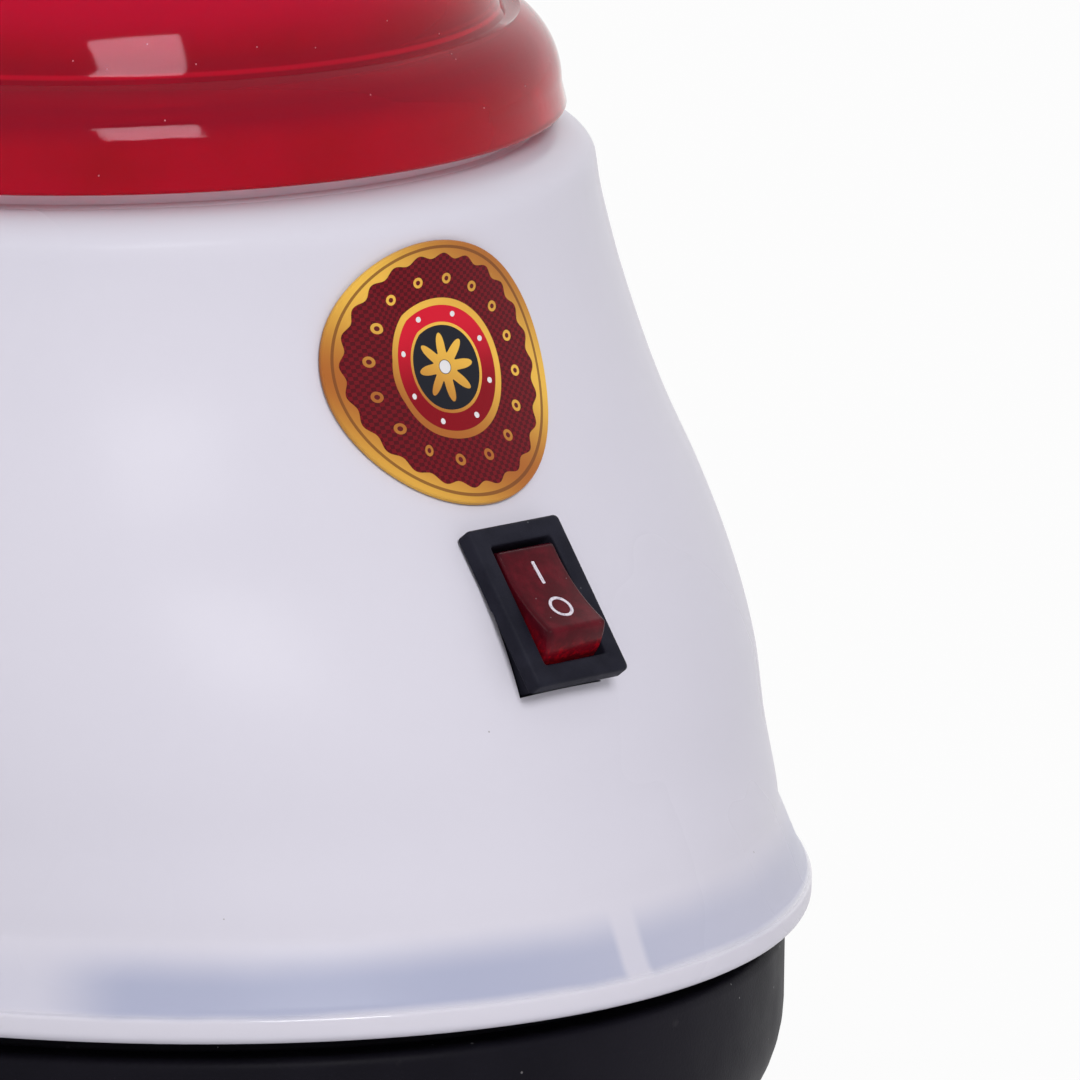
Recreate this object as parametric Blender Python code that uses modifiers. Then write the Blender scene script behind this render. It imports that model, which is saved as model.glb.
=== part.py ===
# Wax heater: an oval white body on a black base, with a round lift-out pot and a clear red lid.
# Metres, +Z up. The origin is the middle of the footprint, at the feet's undersides.
# The front, with the switch and the plaque, looks along -Y. The oval is longest along Y.

import math

import bmesh
import bpy
from mathutils import Matrix, Vector

# General clearances
TOUCH_GAP = 0.0003
OVERRUN = 0.002
MERGE = 0.00001
OVAL_STEPS = 36
ROUND_STEPS = 36
SMALL_STEPS = 12
TINY_STEPS = 8
SMOOTH_ANGLE = math.radians(35)

# Rubber feet
FOOT_RADIUS = 0.007
FOOT_HEIGHT = 0.003
FOOT_STEM_RADIUS = 0.002
FOOT_BEAD_RADIUS = 0.0028
FOOT_BEAD_HEIGHT = 0.0024
FOOT_X = 0.042
FOOT_Y = 0.052

# Base tray
BASE_HALF_LENGTH = 0.1002
BASE_HALF_WIDTH = 0.0821
BASE_TOP_Z = 0.0309
BASE_CORNER = 0.018
BASE_EDGE = 0.0015
BASE_WALL = 0.0025
NECK_TOP_Z = 0.0388
NECK_WALL = 0.002
NECK_CLEARANCE = 0.0008

# Body shell
BODY_WALL = 0.0022
RIM_HALF_LENGTH = 0.1033
RIM_HALF_WIDTH = 0.0854
RIM_BOTTOM_Z = 0.0334
RIM_BAND_Z = 0.0350
RIM_BAND_TOP_Z = 0.0366
RIM_BOTTOM_INSET = 0.0012
RIM_EDGE_INSET = 0.0004
RIM_EDGE_RISE = 0.0007
FLARE_SHARES = ((0.24, 0.13), (0.5, 0.41), (0.76, 0.71))
FOOT_HALF_LENGTH = 0.0988
FOOT_HALF_WIDTH = 0.0815
WALL_FOOT_Z = 0.0453
SHOULDER_RADIUS = 0.067
SHOULDER_Z = 0.1213
SHOULDER_ROUND = 0.0066
LEDGE_Z = 0.1259
COLLAR_RADIUS = 0.0592
COLLAR_TOP_Z = 0.1353
COLLAR_BORE = 0.0575
COLLAR_EDGE = 0.0006
FRONT_SHARES = (0, 0.024, 0.123, 0.302, 0.53, 0.705, 0.824, 0.896, 1)
SIDE_SHARES = (0, 0.213, 0.4, 0.538, 0.7, 0.85, 0.96, 0.99, 1)
WALL_RINGS = 12
BEAD_DEPTH = 0.0034
BEAD_HEIGHT = 0.0024

# Switch: a small rocker switch, its face tilted back with the wall
SWITCH_Y = -0.0887
SWITCH_Z = 0.0804
SWITCH_TILT = math.radians(37.2)
BEZEL_LENGTH = 0.021
BEZEL_WIDTH = 0.015
BEZEL_THICKNESS = 0.0022
BEZEL_EDGE = 0.0004
BOX_LENGTH = 0.019
BOX_WIDTH = 0.0127
BOX_DEPTH = 0.014
BOX_FLOOR = 0.0015
WINDOW_LENGTH = 0.01595
WINDOW_WIDTH = 0.0099
SEAT_MARGIN = 0.0006
SEAT_HEIGHT = 0.006
ROCKER_PIVOT_DEPTH = 0.0032
ROCKER_TRAVEL = math.radians(24)
ROCKER_CORNER = math.radians(38)
ROCKER_HEEL = math.radians(-12)
ROCKER_DISH = 0.0008
ROCKER_DISH_SHARES = (0.6, 0.3, 0, -0.3, -0.6)
ROCKER_KEEL_HALF = 0.0052
ROCKER_KEEL_DEPTH = 0.006
PIN_RADIUS = 0.001
PIN_REACH = 0.001
PLUNGER_RADIUS = 0.001
PLUNGER_SOCKET_DEPTH = 0.003
PLUNGER_TIP_DEPTH = 0.0092
LEVER_LENGTH = 0.0124
LEVER_WIDTH = 0.004
LEVER_THICKNESS = 0.0006
LEVER_DEPTH = 0.01
LEVER_RATIO = 0.4
TERMINAL_PITCH = 0.0058
TERMINAL_WIDTH = 0.0048
TERMINAL_THICKNESS = 0.0008
TERMINAL_TIP_DEPTH = 0.02
TERMINAL_SIDE_DEPTH = 0.0113
TERMINAL_MIDDLE_DEPTH = 0.0107
LAMP_RADIUS = 0.001
LAMP_LENGTH = 0.007
LAMP_OFFSET = 0.0036
LAMP_DEPTH = 0.009

# Plaque on the front of the body
PLAQUE_Z = 0.1053
PLAQUE_WIDTH = 0.035
PLAQUE_HEIGHT = 0.034
PLAQUE_THICKNESS = 0.0006
PLAQUE_LEAN = math.radians(27)
PLAQUE_STEPS = 24
PLAQUE_RING_SHARES = (1, 0.72, 0.4)

# Heating well
WELL_FLANGE_RADIUS = 0.0583
WELL_FLANGE = 0.001
WELL_WALL = 0.0012
WELL_SLACK = 0.0006
WELL_BOTTOM_Z = 0.070
WELL_CORNER = 0.008

# Wax pot
POT_SLACK = 0.0016
POT_WALL = 0.001
POT_FLANGE_RADIUS = 0.0568
POT_FLANGE = 0.0008
POT_CORNER = 0.007
GRIP_WIDTH = 0.018
GRIP_THICKNESS = 0.0025
GRIP_BOTTOM_Z = 0.122
GRIP_TOP_Z = 0.1408
GRIP_ROUND = 0.006
GRIP_SETBACK = 0.0012
RIVET_RADIUS = 0.0012
RIVET_HEAD = 0.0024
RIVET_HEAD_THICKNESS = 0.0005
RIVET_Z = 0.129
RIVET_PITCH = 0.009

# Lid and knob
LID_RADIUS = 0.0632
LID_BOTTOM_Z = 0.1281
LID_DRAFT = 0.0006
LID_WALL = 0.002
LID_SHOULDER_Z = 0.1312
LID_SHOULDER_ROUND = 0.0105
LID_SHOULDER_END = math.radians(60)
VALLEY_OUTER = 0.0568
VALLEY_INNER = 0.0556
DOME_RADIUS = 0.056
DOME_HEIGHT = 0.036
DOME_TOP_Z = 0.170
DOME_START = math.radians(10.8)
DOME_END = math.radians(77)
KNOB_HOLE = 0.0018
KNOB_BASE_RADIUS = 0.0105
KNOB_NECK_RADIUS = 0.0072
KNOB_RADIUS = 0.0135
KNOB_HEIGHT = 0.019
KNOB_SOCKET = 0.012
WASHER_RADIUS = 0.006
WASHER_THICKNESS = 0.001
SCREW_HEAD_RADIUS = 0.0036
SCREW_HEAD_HEIGHT = 0.0022
KNOB_SCREW_RADIUS = 0.0015

# Heater stack under the well
STUD_RADIUS = 0.0025
STUD_FOOT_RADIUS = 0.0065
STUD_FOOT = 0.001
STUD_END_Z = 0.053
HEATER_RADIUS = 0.042
HEATER_BORE = 0.007
HEATER_THICKNESS = 0.0043
BRACKET_RADIUS = 0.051
BRACKET_THICKNESS = 0.0015
HOLE_SLACK = 0.0004
STUD_NUT_FLATS = 0.008
NUT_HEIGHT = 0.004
TIE_CIRCLE = 0.046
TIE_COUNT = 3
TIE_RADIUS = 0.002
TIE_HEAD_RADIUS = 0.0038
TIE_HEAD = 0.0034
TIE_END_Z = 0.0694
TIE_NUT_FLATS = 0.007
TIE_NUT_HEIGHT = 0.003
TIE_BOSS_RADIUS = 0.007
TIE_RECESS_RADIUS = 0.0045
TIE_RECESS_Z = 0.0082
SHIELD_Z = 0.030
SHIELD_RADIUS = 0.052
SHIELD_WALL = 0.001
SHIELD_LIP = 0.006
SHIELD_BORE = 0.012
THERMOSTAT_X = 0.004
THERMOSTAT_Y = -0.024
THERMOSTAT_RADIUS = 0.008
THERMOSTAT_DEPTH = 0.008
THERMOSTAT_EAR_LENGTH = 0.028
THERMOSTAT_EAR_WIDTH = 0.008
THERMOSTAT_EAR = 0.001
THERMOSTAT_PITCH = 0.022
SMALL_SCREW_RADIUS = 0.0013
SMALL_HEAD_RADIUS = 0.0025
SMALL_HEAD = 0.0014
SCREW_TIP_CLEARANCE = 0.0001
FUSE_X = -0.010
FUSE_Y = 0.016
FUSE_RADIUS = 0.002
FUSE_LENGTH = 0.011
FUSE_LEG_RADIUS = 0.0006
FUSE_LEG = 0.005
CLIP_WIDTH = 0.005
CLIP_SHEET = 0.0008
CLIP_EAR = 0.0075

# Terminal block on the base floor
BLOCK_X = -0.002
BLOCK_Y = 0.044
BLOCK_LENGTH = 0.028
BLOCK_WIDTH = 0.014
BLOCK_HEIGHT = 0.012
BLOCK_PITCH = 0.008
BLOCK_BORE = 0.0014
BLOCK_WIRE_Z = 0.0105
BLOCK_SCREW_RADIUS = 0.0016
BLOCK_SCREW_LENGTH = 0.004
BLOCK_CLIP = 0.0015
BLOCK_CLIP_HEIGHT = 0.009

# Cord gland and clamp at the back of the base
GLAND_Z = 0.0215
GLAND_FLANGE_RADIUS = 0.0062
GLAND_FLANGE = 0.0018
GLAND_NECK_RADIUS = 0.0046
GLAND_BORE = 0.0032
GLAND_LIP_RADIUS = 0.0058
GLAND_LIP = 0.002
GLAND_SEAT_INSET = 0.0001
GLAND_SEAT_RADIUS = 0.0075
GLAND_LIP_CLEARANCE = 0.0012
CLAMP_SETBACK = 0.0242
CLAMP_X = 0.009
CLAMP_BOSS_RADIUS = 0.0038
CLAMP_BOSS_Z = 0.0188
CLAMP_SHEET = 0.0015
CLAMP_WIDTH = 0.008
CLAMP_ARCH = 0.0034
CLAMP_EAR = 0.0125
CLAMP_SCREW_END_Z = 0.011
SADDLE_HALF = 0.0044
SADDLE_DEPTH = 0.008

# Internal leads
LEAD_RADIUS = 0.0009
LEAD_SPAN_STEPS = 2
LEAD_GAP = 0.0006
LEAD_STRAIGHT = 0.0045
LEAD_SPREAD = 0.0035
LEAD_DROP_Z = 0.049
LEAD_TURN_Y = 0.030
# Points that each lead passes between its two ends, chosen by hand in the free room
LIVE_ROUTE = ((-0.006, -0.070, 0.046), (-0.009, -0.066, 0.026), (-0.010, -0.050, 0.013),
              (-0.010, -0.022, 0.010), (-0.010, 0.008, 0.010))
LAMP_ROUTE = ((0.007, -0.0625, 0.046), (0.008, -0.061, 0.026), (0.004, -0.048, 0.014),
              (-0.001, -0.022, 0.010), (-0.002, 0.008, 0.010))
SWITCHED_ROUTE = ((0.001, -0.061, 0.052), (0.003, -0.046, 0.044), (0.0005, -0.030, 0.044))
HEATER_ROUTE = ((0.011, -0.012, 0.044), (0.014, 0.002, 0.046), (0.016, 0.012, 0.052),
                (0.014, 0.016, 0.0574))
NEUTRAL_ROUTE = ((-0.026, 0.016, 0.0575), (-0.029, 0.015, 0.049), (-0.020, 0.008, 0.042),
                 (-0.006, 0.003, 0.037), (0.001, 0.003, 0.026), (0.005, 0.018, 0.014))

# Levels that follow from the sizes above
FLOOR_TOP_Z = FOOT_HEIGHT + BASE_WALL
WELL_FLANGE_Z = COLLAR_TOP_Z + TOUCH_GAP
WELL_RADIUS = COLLAR_BORE - WELL_SLACK
POT_RADIUS = WELL_RADIUS - WELL_WALL - POT_SLACK
POT_FLANGE_Z = WELL_FLANGE_Z + WELL_FLANGE + TOUCH_GAP
POT_BOTTOM_Z = WELL_BOTTOM_Z + WELL_WALL + TOUCH_GAP
VALLEY_Z = POT_FLANGE_Z + POT_FLANGE + TOUCH_GAP + LID_WALL
HEATER_TOP_Z = WELL_BOTTOM_Z - TOUCH_GAP
BRACKET_TOP_Z = HEATER_TOP_Z - HEATER_THICKNESS - TOUCH_GAP
BRACKET_Z = BRACKET_TOP_Z - BRACKET_THICKNESS
KNOB_Z = DOME_TOP_Z + TOUCH_GAP
DOME_CENTRE_Z = DOME_TOP_Z - DOME_HEIGHT
CLEAR_HOLE = TIE_RADIUS + HOLE_SLACK
TIE_BOSS_Z = SHIELD_Z - TOUCH_GAP
GLAND_SEAT_Y = BASE_HALF_LENGTH - GLAND_SEAT_INSET
CLAMP_Y = BASE_HALF_LENGTH - CLAMP_SETBACK
SMALL_HOLE = SMALL_SCREW_RADIUS + HOLE_SLACK


# Scene, collections and materials

def clear_scene():
    for item in list(bpy.data.objects):
        bpy.data.objects.remove(item, do_unlink=True)


def new_collection(name):
    collection = bpy.data.collections.new(name)
    bpy.context.scene.collection.children.link(collection)
    return collection


def new_material(name, colour, roughness, metallic=0.0, transmission=0.0):
    material = bpy.data.materials.new(name)
    material.use_nodes = True
    shader = material.node_tree.nodes["Principled BSDF"]
    shader.inputs["Base Color"].default_value = (*colour, 1.0)
    shader.inputs["Roughness"].default_value = roughness
    shader.inputs["Metallic"].default_value = metallic
    shader.inputs["Transmission Weight"].default_value = transmission
    material.diffuse_color = (*colour, 1.0)
    return material


clear_scene()
parts = new_collection("wax_heater")
cutters = new_collection("wax_heater_cutters")

WHITE = (0.68, 0.66, 0.74)
BLACK = (0.012, 0.011, 0.014)
CHARCOAL = (0.022, 0.022, 0.032)
RED = (0.45, 0.005, 0.03)
STEEL = (0.55, 0.55, 0.57)
ALUMINIUM = (0.75, 0.75, 0.77)
BRASS = (0.75, 0.55, 0.25)


# Outlines: lists of points made by formulas

def arc(centre_x, centre_y, radius_x, radius_y, start, end, steps):
    points = []
    for step in range(steps + 1):
        angle = start + (end - start) * step / steps
        points.append((centre_x + radius_x * math.cos(angle), centre_y + radius_y * math.sin(angle)))
    return points


def rounded_rectangle(width, height, radius, steps=3):
    points = []
    for quarter, (sign_x, sign_y) in enumerate(((1, 1), (-1, 1), (-1, -1), (1, -1))):
        start = quarter * math.pi / 2
        points += arc(sign_x * (width / 2 - radius), sign_y * (height / 2 - radius),
                      radius, radius, start, start + math.pi / 2, steps)
    return points


def smooth_share(shares, position):
    # A smooth curve through evenly spaced shares, read at a position from 0 to 1
    spans = len(shares) - 1
    span = min(int(position * spans), spans - 1)
    local = position * spans - span
    before = shares[max(span - 1, 0)]
    first = shares[span]
    second = shares[span + 1]
    after = shares[min(span + 2, spans)]
    slope_in = (second - before) / 2
    slope_out = (after - first) / 2
    square = local * local
    cube = square * local
    return (first * (2 * cube - 3 * square + 1) + slope_in * (cube - 2 * square + local)
            + second * (3 * square - 2 * cube) + slope_out * (cube - square))


# Objects

def add_object(name, mesh, material, collection=None):
    item = bpy.data.objects.new(name, mesh)
    (collection or parts).objects.link(item)
    if material:
        mesh.materials.append(material)
    mesh.shade_smooth()
    mesh.set_sharp_from_angle(angle=SMOOTH_ANGLE)
    return item


def hide_cutter(item):
    item.hide_render = True
    item.display_type = "WIRE"
    return item


def mesh_from_bmesh(name, shape):
    bmesh.ops.recalc_face_normals(shape, faces=shape.faces)
    mesh = bpy.data.meshes.new(name)
    shape.to_mesh(mesh)
    shape.free()
    return mesh


def oval_loft(name, rings, material, closed):
    # Joins level ovals (half width, half length, height) into one skin.
    # A closed loft runs back into its first ring, and an open one is capped at both ends.
    shape = bmesh.new()
    rows = []
    for half_width, half_length, height in rings:
        row = []
        for step in range(OVAL_STEPS):
            angle = 2 * math.pi * step / OVAL_STEPS
            row.append(shape.verts.new((half_width * math.cos(angle), half_length * math.sin(angle), height)))
        rows.append(row)
    pairs = list(zip(rows, rows[1:]))
    if closed:
        pairs.append((rows[-1], rows[0]))
    else:
        shape.faces.new(rows[0])
        shape.faces.new(rows[-1])
    for lower, upper in pairs:
        for step in range(OVAL_STEPS):
            after = (step + 1) % OVAL_STEPS
            shape.faces.new((lower[step], lower[after], upper[after], upper[step]))
    return add_object(name, mesh_from_bmesh(name, shape), material)


def turned(name, profile, material, steps=ROUND_STEPS, closed=False, collection=None):
    # A profile of (radius, height) points turned about Z by a Screw modifier
    mesh = bpy.data.meshes.new(name)
    points = [(radius, 0, height) for radius, height in profile]
    edges = [(index, index + 1) for index in range(len(points) - 1)]
    if closed:
        edges.append((len(points) - 1, 0))
    mesh.from_pydata(points, edges, [])
    item = add_object(name, mesh, material, collection)
    screw = item.modifiers.new("turn", "SCREW")
    screw.axis = "Z"
    screw.angle = 2 * math.pi
    screw.steps = steps
    screw.render_steps = steps
    screw.use_merge_vertices = True
    screw.merge_threshold = MERGE
    screw.use_smooth_shade = True
    return item


def bake(item):
    # Replaces an object's mesh with its evaluated one, so that meshes can be joined
    graph = bpy.context.evaluated_depsgraph_get()
    baked = bpy.data.meshes.new_from_object(item.evaluated_get(graph))
    item.modifiers.clear()
    item.data = baked
    return item


def join(name, items, material, collection=None):
    # Puts several separate solids in one object
    shape = bmesh.new()
    for item in items:
        bake(item)
        item.data.transform(item.matrix_world)
        shape.from_mesh(item.data)
        bpy.data.objects.remove(item, do_unlink=True)
    mesh = bpy.data.meshes.new(name)
    shape.to_mesh(mesh)
    shape.free()
    mesh.materials.clear()
    return add_object(name, mesh, material, collection)


def place(item, location=(0, 0, 0), rotation=None):
    turn = rotation or Matrix.Identity(3)
    item.matrix_world = Matrix.Translation(Vector(location)) @ turn.to_4x4()
    bpy.context.view_layer.update()
    return item


def cylinder(name, radius, low, high, material=None, steps=SMALL_STEPS, collection=None):
    shape = bmesh.new()
    bmesh.ops.create_cone(shape, cap_ends=True, segments=steps, radius1=radius, radius2=radius,
                          depth=high - low)
    bmesh.ops.translate(shape, verts=shape.verts, vec=(0, 0, (low + high) / 2))
    return add_object(name, mesh_from_bmesh(name, shape), material, collection)


def box(name, size, centre, material=None, collection=None):
    shape = bmesh.new()
    bmesh.ops.create_cube(shape, size=1)
    bmesh.ops.scale(shape, verts=shape.verts, vec=size)
    bmesh.ops.translate(shape, verts=shape.verts, vec=centre)
    return add_object(name, mesh_from_bmesh(name, shape), material, collection)


def plate(name, outline, thickness, material, axes=None, collection=None):
    # A flat outline with an even thickness about its plane. The axes say where the outline's
    # own X, Y and Z point.
    curve = bpy.data.curves.new(name, "CURVE")
    curve.dimensions = "2D"
    curve.fill_mode = "BOTH"
    curve.extrude = thickness / 2
    spline = curve.splines.new("POLY")
    spline.points.add(len(outline) - 1)
    for point, (across, along) in zip(spline.points, outline):
        point.co = (across, along, 0, 1)
    spline.use_cyclic_u = True
    guide = bpy.data.objects.new(name + "_outline", curve)
    parts.objects.link(guide)
    bpy.context.view_layer.update()
    graph = bpy.context.evaluated_depsgraph_get()
    mesh = bpy.data.meshes.new_from_object(guide.evaluated_get(graph))
    bpy.data.objects.remove(guide, do_unlink=True)
    mesh.name = name
    shape = bmesh.new()
    shape.from_mesh(mesh)
    bmesh.ops.remove_doubles(shape, verts=shape.verts, dist=MERGE)
    if axes:
        bmesh.ops.transform(shape, verts=shape.verts, matrix=axes.to_4x4())
    bmesh.ops.recalc_face_normals(shape, faces=shape.faces)
    shape.to_mesh(mesh)
    shape.free()
    mesh.materials.clear()
    return add_object(name, mesh, material, collection)


def boolean(item, tool, operation="DIFFERENCE"):
    hide_cutter(tool)
    step = item.modifiers.new(operation.lower(), "BOOLEAN")
    step.operation = operation
    step.solver = "EXACT"
    step.object = tool
    return item


def bevel(item, width, segments=2):
    step = item.modifiers.new("edges", "BEVEL")
    step.width = width
    step.segments = segments
    step.limit_method = "ANGLE"
    return item


def around(count, radius, start=0):
    for index in range(count):
        angle = start + 2 * math.pi * index / count
        yield radius * math.cos(angle), radius * math.sin(angle)


def corners(x, y):
    return ((x, y), (-x, y), (-x, -y), (x, -y))


def hex_prism(name, flats, low, high, bore, material):
    nut = cylinder(name, flats / math.sqrt(3), low, high, material, steps=6)
    hole = cylinder(name + "_bore", bore, low - OVERRUN, high + OVERRUN, steps=TINY_STEPS, collection=cutters)
    return boolean(nut, hole)


tie_places = list(around(TIE_COUNT, TIE_CIRCLE, math.radians(60)))

# The body's outline, read by the shell, the base neck and the plaque

def wall_rings():
    # Wall ovals from the foot up to the shoulder
    rings = []
    for step in range(WALL_RINGS + 1):
        position = 1 - step / WALL_RINGS
        height = SHOULDER_Z + (WALL_FOOT_Z - SHOULDER_Z) * position
        front = smooth_share(FRONT_SHARES, position)
        side = smooth_share(SIDE_SHARES, position)
        rings.append((SHOULDER_RADIUS + (FOOT_HALF_WIDTH - SHOULDER_RADIUS) * side,
                      SHOULDER_RADIUS + (FOOT_HALF_LENGTH - SHOULDER_RADIUS) * front, height))
    return rings


def wall_at(height):
    # The half width and half length of the faceted wall at a height
    rings = wall_rings()
    for lower, upper in zip(rings, rings[1:]):
        if lower[2] <= height <= upper[2]:
            share = (height - lower[2]) / (upper[2] - lower[2])
            return tuple(low + (high - low) * share for low, high in zip(lower, upper))[:2]
    raise ValueError("height outside the wall")


# Base

def make_base():
    material = new_material("base_black", BLACK, 0.35)
    rings = []
    for inset, height in arc(BASE_CORNER, FOOT_HEIGHT + BASE_CORNER, -BASE_CORNER, -BASE_CORNER,
                             math.pi / 2, 0, 5):
        rings.append((BASE_HALF_WIDTH - inset, BASE_HALF_LENGTH - inset, height))
    for inset, height in arc(BASE_EDGE, BASE_TOP_Z - BASE_EDGE, -BASE_EDGE, BASE_EDGE, 0, math.pi / 2, 2):
        rings.append((BASE_HALF_WIDTH - inset, BASE_HALF_LENGTH - inset, height))
    neck_width = FOOT_HALF_WIDTH - BODY_WALL - NECK_CLEARANCE
    neck_length = FOOT_HALF_LENGTH - BODY_WALL - NECK_CLEARANCE
    for height in (BASE_TOP_Z, NECK_TOP_Z):
        rings.append((neck_width, neck_length, height))
    for height in (NECK_TOP_Z, BASE_TOP_Z - BASE_WALL):
        rings.append((neck_width - NECK_WALL, neck_length - NECK_WALL, height))
    rings.append((BASE_HALF_WIDTH - BASE_WALL, BASE_HALF_LENGTH - BASE_WALL, BASE_TOP_Z - BASE_WALL))
    inner_corner = BASE_CORNER - BASE_WALL
    for inset, height in arc(BASE_CORNER, FOOT_HEIGHT + BASE_CORNER, -inner_corner, -inner_corner,
                             0, math.pi / 2, 4):
        rings.append((BASE_HALF_WIDTH - inset, BASE_HALF_LENGTH - inset, height))
    base = oval_loft("base_tray", rings, material, closed=False)

    # Bosses, the cord saddle and the block's two clips, all standing in the floor
    start_z = FOOT_HEIGHT + BASE_WALL / 2
    fittings = []
    for x, y in tie_places:
        fittings.append(place(cylinder("tie_boss", TIE_BOSS_RADIUS, start_z, TIE_BOSS_Z), (x, y, 0)))
    for side in (-1, 1):
        boss = cylinder("clamp_boss", CLAMP_BOSS_RADIUS, start_z, CLAMP_BOSS_Z)
        fittings.append(place(boss, (side * CLAMP_X, CLAMP_Y, 0)))
        clip_y = BLOCK_Y + side * (BLOCK_WIDTH / 2 + TOUCH_GAP + BLOCK_CLIP / 2)
        clip_x = BLOCK_X + BLOCK_LENGTH / 2 - BLOCK_PITCH / 4
        fittings.append(box("block_clip", (BLOCK_PITCH / 2, BLOCK_CLIP, BLOCK_CLIP_HEIGHT),
                            (clip_x, clip_y, start_z + BLOCK_CLIP_HEIGHT / 2)))
    saddle_top = CLAMP_BOSS_Z - TOUCH_GAP
    fittings.append(box("cord_saddle", (2 * SADDLE_HALF, SADDLE_DEPTH, saddle_top - start_z),
                        (0, CLAMP_Y, (saddle_top + start_z) / 2)))
    boolean(base, join("base_fittings", fittings, None, cutters), "UNION")

    # Screw holes, foot holes and the gland's opening
    holes = []
    for x, y in tie_places:
        profile = ((0, TIE_BOSS_Z + OVERRUN), (CLEAR_HOLE, TIE_BOSS_Z + OVERRUN),
                   (CLEAR_HOLE, TIE_RECESS_Z), (TIE_RECESS_RADIUS, TIE_RECESS_Z),
                   (TIE_RECESS_RADIUS, FOOT_HEIGHT - OVERRUN), (0, FOOT_HEIGHT - OVERRUN))
        holes.append(place(turned("tie_hole", profile, None, SMALL_STEPS), (x, y, 0)))
    for x, y in corners(FOOT_X, FOOT_Y):
        hole = cylinder("foot_hole", FOOT_STEM_RADIUS + TOUCH_GAP, FOOT_HEIGHT - OVERRUN, FLOOR_TOP_Z + OVERRUN)
        holes.append(place(hole, (x, y, 0)))
    for side in (-1, 1):
        hole = cylinder("clamp_hole", SMALL_HOLE, CLAMP_SCREW_END_Z - OVERRUN, CLAMP_BOSS_Z + OVERRUN)
        holes.append(place(hole, (side * CLAMP_X, CLAMP_Y, 0)))
    seat_depth = BASE_HALF_LENGTH - GLAND_SEAT_Y + OVERRUN
    through = BASE_WALL * 2 + OVERRUN
    profile = ((0, seat_depth), (GLAND_SEAT_RADIUS, seat_depth), (GLAND_SEAT_RADIUS, 0),
               (GLAND_NECK_RADIUS + TOUCH_GAP, 0), (GLAND_NECK_RADIUS + TOUCH_GAP, -through), (0, -through))
    hole = turned("gland_hole", profile, None, SMALL_STEPS)
    holes.append(place(hole, (0, GLAND_SEAT_Y, GLAND_Z), Matrix.Rotation(-math.pi / 2, 3, "X")))
    boolean(base, join("base_holes", holes, None, cutters))


def make_feet():
    material = new_material("foot_rubber", BLACK, 0.8)
    top = FOOT_HEIGHT - TOUCH_GAP
    bead_z = FLOOR_TOP_Z + TOUCH_GAP
    profile = ((0, bead_z + FOOT_BEAD_HEIGHT), (FOOT_STEM_RADIUS, bead_z + FOOT_BEAD_HEIGHT),
               (FOOT_BEAD_RADIUS, bead_z + FOOT_BEAD_HEIGHT / 2), (FOOT_BEAD_RADIUS, bead_z),
               (FOOT_STEM_RADIUS, bead_z), (FOOT_STEM_RADIUS, top), (FOOT_RADIUS, top),
               (FOOT_RADIUS - TOUCH_GAP, 0), (0, 0))
    for number, (x, y) in enumerate(corners(FOOT_X, FOOT_Y), 1):
        place(turned(f"rubber_foot_{number}", profile, material, SMALL_STEPS), (x, y, 0))


# Body shell, switch opening and plaque

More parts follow.
